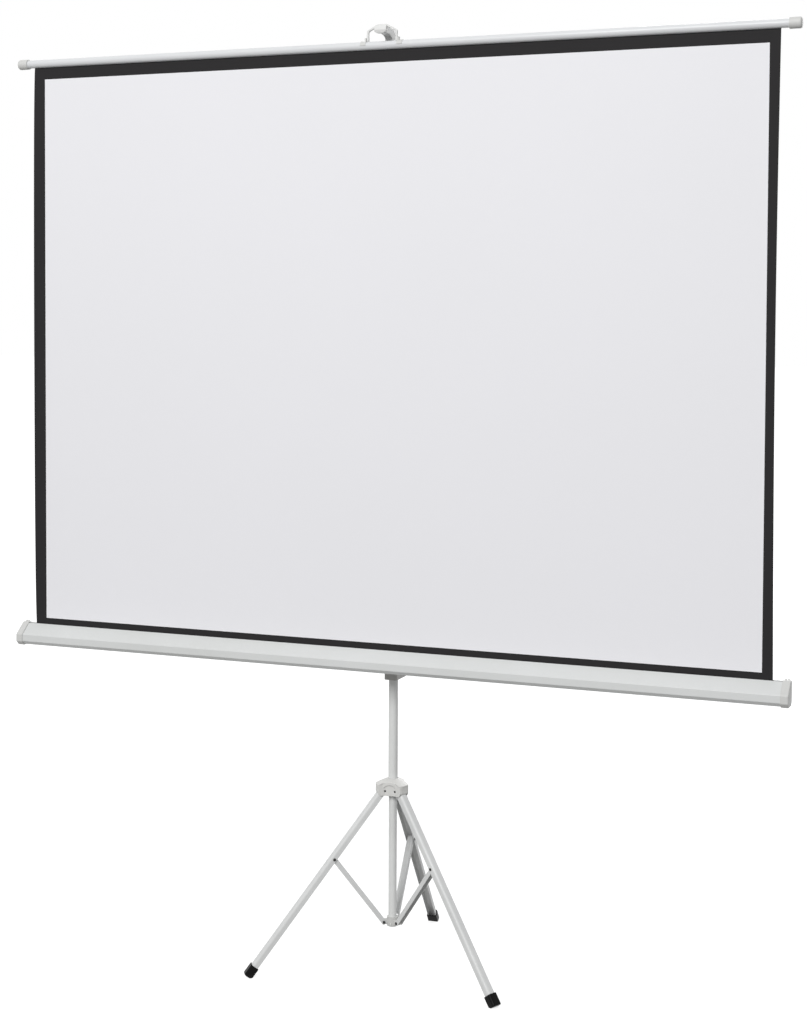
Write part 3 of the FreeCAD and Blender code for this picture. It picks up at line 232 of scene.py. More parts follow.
def drill(name, centre, way, diameter, depth):
    """A round bar, to be cut out of a solid."""
    shape = bmesh.new()
    turn = Vector((0, 0, 1)).rotation_difference(Vector(way)).to_matrix().to_4x4()
    bmesh.ops.create_cone(shape, cap_ends=True, segments=ROUND_STEPS, radius1=diameter / 2,
                          radius2=diameter / 2, depth=depth, matrix=Matrix.Translation(centre) @ turn)
    mesh = bpy.data.meshes.new(name)
    shape.to_mesh(mesh)
    shape.free()
    return add(name, mesh)


def settle(thing):
    """Turns an object's live modifiers into a plain mesh."""
    graph = bpy.context.evaluated_depsgraph_get()
    made = bpy.data.meshes.new_from_object(thing.evaluated_get(graph))
    thing.modifiers.clear()
    thing.data = made
    made.name = thing.name
    return thing


def cut_or_join(thing, other, operation):
    """Joins another solid to a solid or cuts it out, and uses it up."""
    change = thing.modifiers.new(operation.lower(), "BOOLEAN")
    change.operation = operation
    change.solver = "EXACT"
    change.object = other
    settle(thing)
    bpy.data.objects.remove(other)


def round_off(thing, voxel, rounds, material):
    """Rounds the edges of a solid as a mould does, and gives it its finish."""
    skin = thing.modifiers.new("skin", "REMESH")
    skin.mode = "VOXEL"
    skin.voxel_size = voxel
    soft = thing.modifiers.new("rounded edges", "SMOOTH")
    soft.factor = 0.5
    soft.iterations = rounds
    settle(thing)
    thing.data.materials.append(material)
    thing.data.shade_smooth()


mast_middle = middle("main_tube")
hub_middle = Vector((mast_middle.x, mast_middle.y, middle("leg_pivot_pins").z))


def hub_slab(name, outline, out, width):
    """A slab of the hub, its outline given by the distance from the mast's axis and the height."""
    across = Vector((-out.y, out.x, 0))
    return slab(name, [hub_middle + out * r + Vector((0, 0, z)) for r, z in outline], across * width)


def turned(name, profile):
    """A solid turned about the mast's axis, from the radius and height of each ring, lowest first."""
    angles = [2 * math.pi * step / ROUND_STEPS for step in range(ROUND_STEPS)]
    points = [hub_middle + Vector((r * math.cos(a), r * math.sin(a), z)) for r, z in profile for a in angles]
    faces = [tuple(range(ROUND_STEPS))[::-1], tuple(range(len(points) - ROUND_STEPS, len(points)))]
    for ring in range(len(profile) - 1):
        for step in range(ROUND_STEPS):
            first = ring * ROUND_STEPS + step
            second = ring * ROUND_STEPS + (step + 1) % ROUND_STEPS
            faces.append((first, second, second + ROUND_STEPS, first + ROUND_STEPS))
    mesh = bpy.data.meshes.new(name)
    mesh.from_pydata(points, [], faces)
    return add(name, mesh)


leg_ways = []
for side in LEG_SIDES:
    to_foot = middle(f"foot_{side}") - hub_middle
    leg_ways.append(Vector((to_foot.x, to_foot.y, 0)).normalized())
to_right_foot = middle("foot_right") - hub_middle
leg_angle = math.atan2(to_right_foot.xy.length - PIN_DISTANCE, -to_right_foot.z)

rough_top = HOOD_TOP + ROUGH_EXCESS
rough_reach = LOBE_REACH + ROUGH_EXCESS
hub = turned("hub_moulding", ((HOOD_REACH, HUB_FOOT), (HOOD_REACH, rough_top)))
arch_rise = Vector((0, 0, ARCH_CROWN - ARCH_RADIUS))
for out in leg_ways:
    cut_or_join(hub, hub_slab("hood_flat", [
        (-HOOD_FLAT, -FAR), (-HOOD_FLAT, FAR), (-FAR, FAR), (-FAR, -FAR)], out, 2 * FAR), "DIFFERENCE")
    arch_middle = hub_middle - out * (PANEL_FLAT + FAR / 2) + arch_rise
    cut_or_join(hub, drill("panel_arch", arch_middle, out, 2 * ARCH_RADIUS, FAR), "DIFFERENCE")
cheek_end = LOBE_REACH - (ROOF_WIDTH - CHEEK_WIDTH) / 4
for out in leg_ways:
    cut_or_join(hub, hub_slab("lobe_roof", [
        (0, rough_top), (rough_reach, rough_top), (rough_reach, LOBE_EAVE - ROOF_THICKNESS),
        (HOOD_NECK, HOOD_TOP - ROOF_THICKNESS), (0, HOOD_TOP - ROOF_THICKNESS)], out, ROOF_WIDTH), "UNION")
    cut_or_join(hub, hub_slab("lobe_cheeks", [
        (0, HUB_FOOT), (LOBE_HEEL, HUB_FOOT), (cheek_end, LOBE_FOOT),
        (cheek_end, LOBE_EAVE - ROOF_THICKNESS / 2), (HOOD_NECK, HOOD_TOP - ROOF_THICKNESS / 2),
        (0, HOOD_TOP - ROOF_THICKNESS / 2)], out, CHEEK_WIDTH), "UNION")
cut_or_join(hub, turned("hood", (
    (LOBE_REACH, 2 * HUB_FOOT), (LOBE_REACH, LOBE_EAVE), (HOOD_NECK, HOOD_TOP))), "INTERSECT")

slot_arc = [math.radians(a) for a in range(0, SLOT_ARC_END + 1, SLOT_ARC_STEP)]
root_rise = SLOT_RADIUS * math.cos(math.pi / 4)
face_start = math.sqrt(SLOT_RADIUS ** 2 - LEG_FACE ** 2)
face_end = face_start + LOBE_REACH
face_out = PIN_DISTANCE + LEG_FACE * math.cos(leg_angle)
face_rise = LEG_FACE * math.sin(leg_angle)
for out in leg_ways:
    cut_or_join(hub, hub_slab("leg_slot", [
        (SLOT_ROOT, -FAR), (SLOT_ROOT, root_rise),
        *((PIN_DISTANCE + SLOT_RADIUS * math.sin(a), SLOT_RADIUS * math.cos(a)) for a in slot_arc),
        (face_out + face_start * math.sin(leg_angle), face_rise - face_start * math.cos(leg_angle)),
        (face_out + face_end * math.sin(leg_angle), face_rise - face_end * math.cos(leg_angle)),
        (face_out + face_end * math.sin(leg_angle), -FAR)], out, SLOT_WIDTH), "DIFFERENCE")
    pin_middle = hub_middle + out * PIN_DISTANCE
    pin_way = Vector((-out.y, out.x, 0))
    cut_or_join(hub, drill("pin_hole", pin_middle, pin_way, PIN_HOLE, FAR), "DIFFERENCE")
cut_or_join(hub, drill("mast_bore", hub_middle, (0, 0, 1), MAST_BORE, 2 * FAR), "DIFFERENCE")
hub_plastic = moulding("hub_plastic", ((0.725, 0.72, 0.70), (0.685, 0.68, 0.66)), (0.40, 0.54), 0.35)
round_off(hub, HUB_VOXEL, HUB_SMOOTHING, hub_plastic)
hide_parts("leg_hub")
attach(hub, "mast")


# The lower hub, which a screw holds on the lower tube, and the collar at the mast's head are
# moulded in the same way, in a slightly darker grey.
pale_plastic = moulding("pale_plastic", ((0.66, 0.66, 0.645), (0.61, 0.61, 0.595)), (0.40, 0.54), 0.35)
dress(pale_plastic, "brace_hub", "extension_collar")


# The legs are strips of steel, pressed into open channels, with the same enamel as the mast.
# Each leg turns on a pin that goes through the hub's cheeks.
leg_enamel = enamel("leg_enamel", ((0.73, 0.735, 0.73), (0.68, 0.685, 0.68)), (0.28, 0.40), 12.0)
dress(leg_enamel, "leg_rear", "leg_left", "leg_right")


# A strut joins each leg to the lower hub. It is a smaller channel, pressed from steel strip, with
# the leg's enamel. It is forked at its foot, where it straddles the hub's ear, and turns on a
# rivet at each end.
STRUT_DEPTH = 0.013
FORK_LENGTH = 0.028
FORK_SHORTER_BY = 0.0185
FORK_BAND = 0.0005
SHARP_FOLD = math.radians(35)
MERGE_DISTANCE = 0.00001


def fused_copy(name, node):
    """A copy of a CAD node, with its loose triangles joined, for a piece that reworks it."""
    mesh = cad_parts[node].data.copy()
    mesh.name = name
    mesh.materials.clear()
    if "custom_normal" in mesh.attributes:
        mesh.attributes.remove(mesh.attributes["custom_normal"])
    shape = bmesh.new()
    shape.from_mesh(mesh)
    bmesh.ops.remove_doubles(shape, verts=shape.verts, dist=MERGE_DISTANCE)
    shape.to_mesh(mesh)
    shape.free()
    return add(name, mesh)


for side in LEG_SIDES:
    strut = fused_copy(f"strut_{side}", f"brace_{side}")
    top_pin = middle(f"brace_rivet_{side}")
    foot_pin = middle(f"brace_end_rivets_{side}")
    run = (foot_pin - top_pin).normalized()
    fork_start = (foot_pin - top_pin).length - FORK_LENGTH
    deep = run.cross(Vector((0, 0, 1))).normalized().cross(run)
    depths = [(v.co - top_pin).dot(deep) for v in strut.data.vertices]
    lowest, highest = min(depths), max(depths)
    for vertex, depth in zip(strut.data.vertices, depths):
        if abs((vertex.co - top_pin).dot(run) - fork_start) < FORK_BAND:
            vertex.co += run * FORK_SHORTER_BY
        stretch = STRUT_DEPTH / 2 / (highest if depth > 0 else -lowest)
        vertex.co += deep * depth * (stretch - 1)
    strut.data.shade_smooth()
    strut.data.set_sharp_from_angle(angle=SHARP_FOLD)
    strut.data.materials.append(leg_enamel)
    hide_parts(f"brace_{side}")
    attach(strut, f"brace_{side}")


# A cap of black rubber is pushed over the end of each leg. It is moulded with round edges and has
# a flat sole where it meets the floor. It is a little dusty near the floor.
RUBBER_RELIEF = ("Grain", 0.2, 0.0002)
RUBBER_GRAIN_PER_METRE = 900.0
RUBBER_GLOSS = 0.09
DUST_HEIGHT = 0.012
DUST_AT_FLOOR = 0.8
RIM_BAND = 0.002
RIM_LIFT = 0.0045
FOOT_VOXEL = 0.0008
FOOT_SMOOTHING = 16
foot_rubber, rubber_shader, rubber_grain = coat(
    "foot_rubber", mould_grain, ((0.004, 0.004, 0.004), (0.030, 0.028, 0.026)), (0.22, 0.34), RUBBER_RELIEF)
rubber_grain.inputs["Grain per metre"].default_value = RUBBER_GRAIN_PER_METRE
rubber_shader.inputs["Specular IOR Level"].default_value = RUBBER_GLOSS
rubber_tree = foot_rubber.node_tree
foot_place = put(rubber_tree, "ShaderNodeTexCoord").outputs["Object"]
foot_height = put(rubber_tree, "ShaderNodeSeparateXYZ", {"Vector": foot_place}).outputs["Z"]
dust_fade = put(rubber_tree, "ShaderNodeMapRange", {
    "Value": foot_height, "From Min": 0.0, "From Max": DUST_HEIGHT, "To Min": DUST_AT_FLOOR, "To Max": 0.0})
dust = put(rubber_tree, "ShaderNodeMath", {
    0: dust_fade.outputs["Result"], 1: rubber_grain.outputs["Clouds"]}, operation="MULTIPLY")
rubber_blend = rubber_shader.inputs["Base Color"].links[0].from_node
rubber_tree.links.new(dust.outputs["Value"], rubber_blend.inputs["Fac"])
for side in LEG_SIDES:
    foot = fused_copy(f"rubber_foot_{side}", f"foot_{side}")
    leg_way = (middle(f"brace_rivet_{side}") - middle(f"foot_{side}")).normalized()
    rim = max(v.co.dot(leg_way) for v in foot.data.vertices)
    for vertex in foot.data.vertices:
        if vertex.co.dot(leg_way) > rim - RIM_BAND:
            vertex.co += leg_way * RIM_LIFT
    round_off(foot, FOOT_VOXEL, FOOT_SMOOTHING, foot_rubber)
    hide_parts(f"foot_{side}")
    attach(foot, f"leg_{side}")


# The roller's metal and the screws are zinc-plated steel, drawn or turned, with fine lines along
# the drawing and a faint blotched bloom from the plating bath. The stand's pins and rivets are
# painted near black: painted shade for the shadow in the holes they sit in.
PLATED_ROUGHNESS = (0.28, 0.46)
PLATED_RELIEF = ("Lines", 0.15, 0.0001)
plating, plating_in, plating_out = new_tree(
    "plating", "ShaderNodeTree",
    {"Lines per metre": (NUMBER, 2500.0), "Bloom per metre": (NUMBER, 60.0)},
    {"Lines": (NUMBER, None), "Bloom": (NUMBER, None)},
)
plating_place = put(plating, "ShaderNodeTexCoord").outputs["Object"]
plating_drawn = put(plating, "ShaderNodeMapping", {"Vector": plating_place, "Scale": (0.02, 1.0, 1.0)})
plating_lines = put(plating, "ShaderNodeTexNoise", {
    "Vector": plating_drawn.outputs["Vector"], "Scale": plating_in.outputs["Lines per metre"],
    "Detail": 1.0})
plating_bloom = put(plating, "ShaderNodeTexNoise", {
    "Vector": plating_place, "Scale": plating_in.outputs["Bloom per metre"], "Detail": 4.0})
plating.links.new(plating_lines.outputs["Fac"], plating_out.inputs["Lines"])
plating.links.new(plating_bloom.outputs["Fac"], plating_out.inputs["Bloom"])


def plated(name, colours):
    """Steel out of the plating bath, with the colour of its film and that of the film's bloom."""
    material, shader, _ = coat(name, plating, colours, PLATED_ROUGHNESS, PLATED_RELIEF, "Bloom", "Lines")
    shader.inputs["Metallic"].default_value = 1.0
    return material


zinc_steel = plated("zinc_steel", ((0.42, 0.42, 0.41), (0.55, 0.55, 0.53)))
# Painted shade: the pins and rivets get a near-black steel that stands in for the shade in their holes.
shade_dark_steel = plated("shade_dark_steel", ((0.030, 0.030, 0.030), (0.055, 0.054, 0.052)))
dress(zinc_steel, "roller_shaft", "roller_tube", "swivel_washer", "swivel_bolt", "fabric_rod",
      "height_screw", "extension_screw")
dress(shade_dark_steel, "leg_pivot_pins")
for side in LEG_SIDES:
    dress(shade_dark_steel, f"brace_rivet_{side}", f"brace_end_rivets_{side}")


# The small screws have a domed head with a cross recess. Two hold the case's end caps, four hold
# the swivel plate, and one each holds the hook to its tube and the lower hub to the lower tube.
GEOMETRY = "NodeSocketGeometry"
SCREW_SHANK = 0.004
SHANK_SIDES = 20
DOME_SEGMENTS = 24
DOME_RINGS = 14
RECESS_LENGTH = 1.15
RECESS_WIDTH = 0.26
CUT_SIZE = 0.1
SAME_SCREW_WITHIN = 1.5
screw_tree, screw_in, screw_out = new_tree("cross_head_screws", "GeometryNodeTree", {
    "Places": (GEOMETRY, None), "Head Radius": (NUMBER, 0.0035), "Head Height": (NUMBER, 0.002),
    "Shank Radius": (NUMBER, 0.002), "Shank Length": (NUMBER, 0.006), "Turn": (NUMBER, 0.0),
    "Yaw": (NUMBER, 0.0),
}, {"Geometry": (GEOMETRY, None)})


def calc(tree, operation, *values):
    """A sum or other operation on values and sockets."""
    return put(tree, "ShaderNodeMath", dict(enumerate(values)), operation=operation).outputs["Value"]


def joined_xyz(tree, x=0.0, y=0.0, z=0.0):
    """A vector from three values or sockets."""
    return put(tree, "ShaderNodeCombineXYZ", {"X": x, "Y": y, "Z": z}).outputs["Vector"]


head_radius = screw_in.outputs["Head Radius"]
head_height = screw_in.outputs["Head Height"]
dome = put(screw_tree, "GeometryNodeMeshUVSphere", {
    "Segments": DOME_SEGMENTS, "Rings": DOME_RINGS, "Radius": 1.0})
dome_set = put(screw_tree, "GeometryNodeTransform", {
    "Geometry": dome.outputs["Mesh"],
    "Scale": joined_xyz(screw_tree, head_radius, head_radius, head_height)})
below = put(screw_tree, "GeometryNodeMeshCube", {"Size": (CUT_SIZE, CUT_SIZE, CUT_SIZE)})
below_set = put(screw_tree, "GeometryNodeTransform", {
    "Geometry": below.outputs["Mesh"], "Translation": (0.0, 0.0, -CUT_SIZE / 2)})
recess_long = calc(screw_tree, "MULTIPLY", head_radius, RECESS_LENGTH)
recess_thin = calc(screw_tree, "MULTIPLY", head_radius, RECESS_WIDTH)
recess_cuts = []
for size_x, size_y in ((recess_long, recess_thin), (recess_thin, recess_long)):
    bar = put(screw_tree, "GeometryNodeMeshCube", {
        "Size": joined_xyz(screw_tree, size_x, size_y, head_height)})
    bar_set = put(screw_tree, "GeometryNodeTransform", {
        "Geometry": bar.outputs["Mesh"], "Translation": joined_xyz(screw_tree, z=head_height)})
    recess_cuts.append(bar_set.outputs["Geometry"])
head_cut = put(screw_tree, "GeometryNodeMeshBoolean", {"Mesh 1": dome_set.outputs["Geometry"]},
               operation="DIFFERENCE")
for cut in (below_set.outputs["Geometry"], *recess_cuts):
    screw_tree.links.new(cut, head_cut.inputs["Mesh 2"])
shank_length = screw_in.outputs["Shank Length"]
shank = put(screw_tree, "GeometryNodeMeshCylinder", {
    "Vertices": SHANK_SIDES, "Radius": screw_in.outputs["Shank Radius"], "Depth": shank_length})
shank_set = put(screw_tree, "GeometryNodeTransform", {
    "Geometry": shank.outputs["Mesh"],
    "Translation": joined_xyz(screw_tree, z=calc(screw_tree, "MULTIPLY", shank_length, -0.5))})
whole_screw = put(screw_tree, "GeometryNodeJoinGeometry")
for made in (head_cut.outputs["Mesh"], shank_set.outputs["Geometry"]):
    screw_tree.links.new(made, whole_screw.inputs["Geometry"])
screw_spin = put(screw_tree, "FunctionNodeEulerToRotation", {
    "Euler": joined_xyz(screw_tree, x=screw_in.outputs["Turn"], z=screw_in.outputs["Yaw"])})
screw_places = put(screw_tree, "GeometryNodeMeshToPoints", {"Mesh": screw_in.outputs["Places"]})
screws_set = put(screw_tree, "GeometryNodeInstanceOnPoints", {
    "Points": screw_places.outputs["Points"], "Instance": whole_screw.outputs["Geometry"],
    "Rotation": screw_spin.outputs["Rotation"]})
screws_real = put(screw_tree, "GeometryNodeRealizeInstances", {"Geometry": screws_set.outputs["Instances"]})
screws_finish = put(screw_tree, "GeometryNodeSetMaterial", {
    "Geometry": screws_real.outputs["Geometry"], "Material": zinc_steel})
screw_tree.links.new(screws_finish.outputs["Geometry"], screw_out.inputs["Geometry"])


def grow(tree, name, sizes, places=()):
    """A plain mesh object that a tree of geometry nodes makes from its named sizes."""
    start = bpy.data.meshes.new(f"{name}_places")
    start.from_pydata(places, [], [])
    thing = add(name, start)
    modifier = thing.modifiers.new("grow", "NODES")
    modifier.node_group = tree
    identifiers = {s.name: s.identifier for s in tree.interface.items_tree if s.in_out == "INPUT"}
    for size_name, size in sizes.items():
        modifier[identifiers[size_name]] = size
    return settle(thing)


def screw_set(node, body, thickness, diameter, facing=1, yaw=0.0):
    """Cross-headed screws that stand for a CAD node, by the thickness and diameter of their heads.
    facing is +1 for heads towards +Y and -1 for heads towards -Y, before the yaw."""
    reach = diameter * SAME_SCREW_WITHIN
    groups = []
    for point in [v.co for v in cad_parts[node].data.vertices]:
        near = [g for g in groups if abs(g[0].x - point.x) < reach and abs(g[0].z - point.z) < reach]
        if near:
            near[0].append(point)
        else:
            groups.append([point])
    low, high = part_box(node)
    seat = high.y - thickness if facing > 0 else low.y + thickness
    places = []
    for group in groups:
        xs = [p.x for p in group]
        zs = [p.z for p in group]
        places.append(((min(xs) + max(xs)) / 2, seat, (min(zs) + max(zs)) / 2))
    screws = grow(screw_tree, f"{node}_crossed", {
        "Head Radius": diameter / 2, "Head Height": thickness, "Shank Radius": SCREW_SHANK / 2,
        "Shank Length": high.y - low.y - thickness, "Turn": -facing * math.pi / 2, "Yaw": yaw}, places)
    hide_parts(node)
    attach(screws, body)


screw_set("end_cap_screws", "case", thickness=0.0016, diameter=0.007)
screw_set("plate_screws", "case", thickness=0.002, diameter=0.008)
screw_set("hook_screw", "extension", thickness=0.002, diameter=0.007)
hub_screw_way = middle("brace_hub_screw") - middle("lower_tube")
screw_set("brace_hub_screw", "lower_mast", thickness=0.0018, diameter=0.007, facing=-1,
          yaw=math.atan2(hub_screw_way.x, -hub_screw_way.y))


# The case is a folded steel shell in satin off-white enamel, with a moulded cap on each end.
# It hangs on a bracket that slides on the mast over a nylon bush, and swivels on a bolt.
case_enamel = enamel("case_enamel", ((0.69, 0.70, 0.695), (0.655, 0.665, 0.655)), (0.34, 0.44), 3.0)
bracket_enamel = enamel("bracket_enamel", ((0.43, 0.425, 0.41), (0.38, 0.375, 0.36)), (0.36, 0.48), 15.0)
nylon = moulding("nylon", ((0.62, 0.62, 0.60), (0.56, 0.56, 0.54)), (0.42, 0.55), 0.4)
dress(case_enamel, "case_shell")
dress(bracket_enamel, "slide_bracket", "swivel_plate")
dress(nylon, "bracket_bush", "roller_plug_left", "roller_plug_right")


# A moulded cap with round edges is pushed on each end of the case and held by a screw. A low lug
# with a small hole stands on its top, at the back.
LUG_HEIGHT = 0.0062
LUG_HALF_WIDTH = 0.0065
LUG_HOLE = 0.0036
LUG_HOLE_RISE = 0.0036
LUG_ARC_STEPS = 8
LUG_CUT = 0.05
CAP_WALL = 0.0025
CAP_VOXEL = 0.0008
CAP_SMOOTHING = 6
SQUARE = ((-1, -1), (1, -1), (1, 1), (-1, 1))
case_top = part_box("case_shell")[1].z
cut_middle = case_top + CAP_WALL / 2 + LUG_CUT
lug_shoulder = case_top + LUG_HEIGHT / 2
lug_arc = [math.pi * step / LUG_ARC_STEPS for step in range(LUG_ARC_STEPS + 1)]
for side in ("left", "right"):
    cap = fused_copy(f"rounded_cap_{side}", f"end_cap_{side}")
    tall = [v.co.copy() for v in cap.data.vertices if v.co.z > case_top + LUG_HEIGHT]
    lug_x = (min(p.x for p in tall) + max(p.x for p in tall)) / 2
    lug_y = (min(p.y for p in tall) + max(p.y for p in tall)) / 2
    lug_depth = max(p.y for p in tall) - min(p.y for p in tall)
    cut_or_join(cap, slab("tall_lug", [
        (lug_x + x * LUG_CUT, lug_y, cut_middle + z * LUG_CUT) for x, z in SQUARE],
        (0, 3 * lug_depth, 0)), "DIFFERENCE")
    round_top = [(lug_x + LUG_HALF_WIDTH * math.cos(a), lug_y, lug_shoulder + LUG_HEIGHT / 2 * math.sin(a))
                 for a in lug_arc]
    cut_or_join(cap, slab("low_lug", [
        (lug_x + LUG_HALF_WIDTH, lug_y, case_top), *round_top,
        (lug_x - LUG_HALF_WIDTH, lug_y, case_top)], (0, lug_depth, 0)), "UNION")
    cut_or_join(cap, drill("lug_hole", (lug_x, lug_y, case_top + LUG_HOLE_RISE), (0, 1, 0), LUG_HOLE,
                           2 * lug_depth), "DIFFERENCE")
    round_off(cap, CAP_VOXEL, CAP_SMOOTHING, pale_plastic)
    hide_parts(f"end_cap_{side}")
    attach(cap, "case")


# The roller holds a torsion spring of zinc-plated steel wire, wound over the fixed shaft, which
# pulls the sheet in. It is closed in by the roller's tube.
SPRING_PITCH = 0.004
SPRING_WIRE = 0.0018
SPRING_STEPS = 14
WIRE_SIDES = 6
ALONG_X = (0.0, math.pi / 2, 0.0)
spring_tree, spring_in, spring_out = new_tree("wound_spring", "GeometryNodeTree", {
    "Radius": (NUMBER, 0.005), "Length": (NUMBER, 0.52), "Turns": (NUMBER, 130.0),
    "Wire Radius": (NUMBER, 0.0009), "Start": ("NodeSocketVector", (0.0, 0.0, 0.0)),
}, {"Geometry": (GEOMETRY, None)})
spring_line = put(spring_tree, "GeometryNodeCurveSpiral", {
    "Resolution": SPRING_STEPS, "Rotations": spring_in.outputs["Turns"],
    "Start Radius": spring_in.outputs["Radius"], "End Radius": spring_in.outputs["Radius"],
    "Height": spring_in.outputs["Length"]})
spring_wire = put(spring_tree, "GeometryNodeCurvePrimitiveCircle", {
    "Resolution": WIRE_SIDES, "Radius": spring_in.outputs["Wire Radius"]})
spring_body = put(spring_tree, "GeometryNodeCurveToMesh", {
    "Curve": spring_line.outputs["Curve"], "Profile Curve": spring_wire.outputs["Curve"],
    "Fill Caps": True})
spring_set = put(spring_tree, "GeometryNodeTransform", {
    "Geometry": spring_body.outputs["Mesh"], "Translation": spring_in.outputs["Start"],
    "Rotation": ALONG_X})
spring_real = put(spring_tree, "GeometryNodeRealizeInstances", {"Geometry": spring_set.outputs["Geometry"]})
spring_finish = put(spring_tree, "GeometryNodeSetMaterial", {
    "Geometry": spring_real.outputs["Geometry"], "Material": zinc_steel})
spring_tree.links.new(spring_finish.outputs["Geometry"], spring_out.inputs["Geometry"])

spring_low, spring_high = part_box("roller_spring")
spring_middle = middle("roller_spring")
spring_length = spring_high.x - spring_low.x - SPRING_WIRE
spring = grow(spring_tree, "spring_wire", {
    "Radius": (spring_high.z - spring_low.z - SPRING_WIRE) / 2, "Length": spring_length,
    "Turns": spring_length / SPRING_PITCH, "Wire Radius": SPRING_WIRE / 2,
    "Start": (spring_low.x + SPRING_WIRE / 2, spring_middle.y, spring_middle.z)})
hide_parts("roller_spring")
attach(spring, "case")


# The sheet is a white, matt, grained projection cloth with a printed black border and a black back.
# Its foot winds on the roller and its head is held in the bar. The spring keeps it flat, but its
# long sides curl a little towards the front between the bar and the case.
IMAGE_WIDTH = 2.032
IMAGE_HEIGHT = 1.524
BOTTOM_BORDER = 0.017
PRINT_SHIFT = 0.003
CLOTH_THICKNESS = 0.0005
CLOTH_GLOSS = 0.1
THREAD_DEPTH = 0.0001
SIDE_COLUMNS = 6
IMAGE_COLUMNS = 120
END_ROWS = 5
IMAGE_ROWS = 70
SLACK_POWER = 0.7
LEAST_BEND = 0.001
RIPPLES_PER_METRE = 14.0
cloth_grain, cloth_in, cloth_out = new_tree(
    "cloth_grain", "ShaderNodeTree",
    {"Threads per metre": (NUMBER, 1400.0), "Clouds per metre": (NUMBER, 1.5)},
    {"Grain": (NUMBER, None), "Clouds": (NUMBER, None)},
)
cloth_place = put(cloth_grain, "ShaderNodeUVMap", uv_map="cloth").outputs["UV"]
thread_scale = calc(cloth_grain, "DIVIDE", cloth_in.outputs["Threads per metre"], math.pi * 2)
cloth_waves = []
for direction in ("X", "Y"):
    wave = put(cloth_grain, "ShaderNodeTexWave", {
        "Vector": cloth_place, "Scale": thread_scale, "Distortion": 0.6},
        wave_type="BANDS", bands_direction=direction)
    cloth_waves.append(wave.outputs["Fac"])
cloth_cloud = put(cloth_grain, "ShaderNodeTexNoise", {
    "Vector": cloth_place, "Scale": cloth_in.outputs["Clouds per metre"], "Detail": 3.0})
cloth_grain.links.new(calc(cloth_grain, "ADD", *cloth_waves), cloth_out.inputs["Grain"])
cloth_grain.links.new(cloth_cloud.outputs["Fac"], cloth_out.inputs["Clouds"])


def cloth(name, colours, roughness_range, thread_strength):
    """Coated cloth, matt, with the weave showing through as strongly as is given."""
    relief = ("Grain", thread_strength, THREAD_DEPTH)
    material, shader, _ = coat(name, cloth_grain, colours, roughness_range, relief)
    shader.inputs["Specular IOR Level"].default_value = CLOTH_GLOSS
    return material


screen_white = cloth("screen_white", ((0.868, 0.863, 0.893), (0.848, 0.845, 0.868)), (0.80, 0.90), 0.05)
screen_border = cloth("screen_border", ((0.021, 0.020, 0.021), (0.027, 0.026, 0.027)), (0.60, 0.75), 0.15)
screen_back = cloth("screen_back", ((0.020, 0.020, 0.021), (0.027, 0.027, 0.028)), (0.60, 0.75), 0.15)

sheet_tree, sheet_in, sheet_out = new_tree("hanging_sheet", "GeometryNodeTree", {
    "Image Width": (NUMBER, IMAGE_WIDTH), "Image Height": (NUMBER, IMAGE_HEIGHT),
    "Side Border": (NUMBER, 0.03), "Print Shift": (NUMBER, 0.0), "Bottom Length": (NUMBER, 0.05),
    "Top Length": (NUMBER, 0.03), "Start Height": (NUMBER, 0.84), "Slot Height": (NUMBER, 0.88),
    "Front": (NUMBER, 0.0), "Curl Width": (NUMBER, 0.036), "Curl Angle": (NUMBER, 0.72),
    "Ripple": (NUMBER, 0.0008),
}, {"Geometry": (GEOMETRY, None)})


def on_sheet(operation, *values):
    """A sum or other operation in the sheet's tree."""
    return calc(sheet_tree, operation, *values)


def along(index, spans, start):
    """The distance reached at a row or column of the sheet, where each span holds some of them."""
    reached, first = start, 0
    for count, length in spans:
        part = put(sheet_tree, "ShaderNodeMapRange", {
            "Value": index, "From Min": float(first), "From Max": float(first + count), "To Max": length})
        reached = on_sheet("ADD", reached, part.outputs["Result"])
        first += count
    return reached


# The cloth is a net in which the borders and the image have rows and columns of their own.
all_columns = 2 * SIDE_COLUMNS + IMAGE_COLUMNS
all_rows = 2 * END_ROWS + IMAGE_ROWS
net = put(sheet_tree, "GeometryNodeMeshGrid", {
    "Size X": float(all_columns), "Size Y": float(all_rows),
    "Vertices X": all_columns + 1, "Vertices Y": all_rows + 1})
net_place = put(sheet_tree, "ShaderNodeSeparateXYZ", {
    "Vector": put(sheet_tree, "GeometryNodeInputPosition").outputs["Position"]})
column = on_sheet("ADD", net_place.outputs["X"], all_columns / 2)
net_row = on_sheet("ADD", net_place.outputs["Y"], all_rows / 2)
image_width = sheet_in.outputs["Image Width"]
image_height = sheet_in.outputs["Image Height"]
side_border = sheet_in.outputs["Side Border"]
print_shift = sheet_in.outputs["Print Shift"]
below_image = sheet_in.outputs["Bottom Length"]
above_image = sheet_in.outputs["Top Length"]
start_height = sheet_in.outputs["Start Height"]
slot_height = sheet_in.outputs["Slot Height"]
half_width = on_sheet("ADD", on_sheet("MULTIPLY", image_width, 0.5), side_border)
left_border = on_sheet("ADD", side_border, print_shift)
right_border = on_sheet("SUBTRACT", side_border, print_shift)
flat_x = along(
    column, ((SIDE_COLUMNS, left_border), (IMAGE_COLUMNS, image_width), (SIDE_COLUMNS, right_border)),
    on_sheet("MULTIPLY", half_width, -1.0))
flat_z = along(
    net_row, ((END_ROWS, below_image), (IMAGE_ROWS, image_height), (END_ROWS, above_image)), start_height)

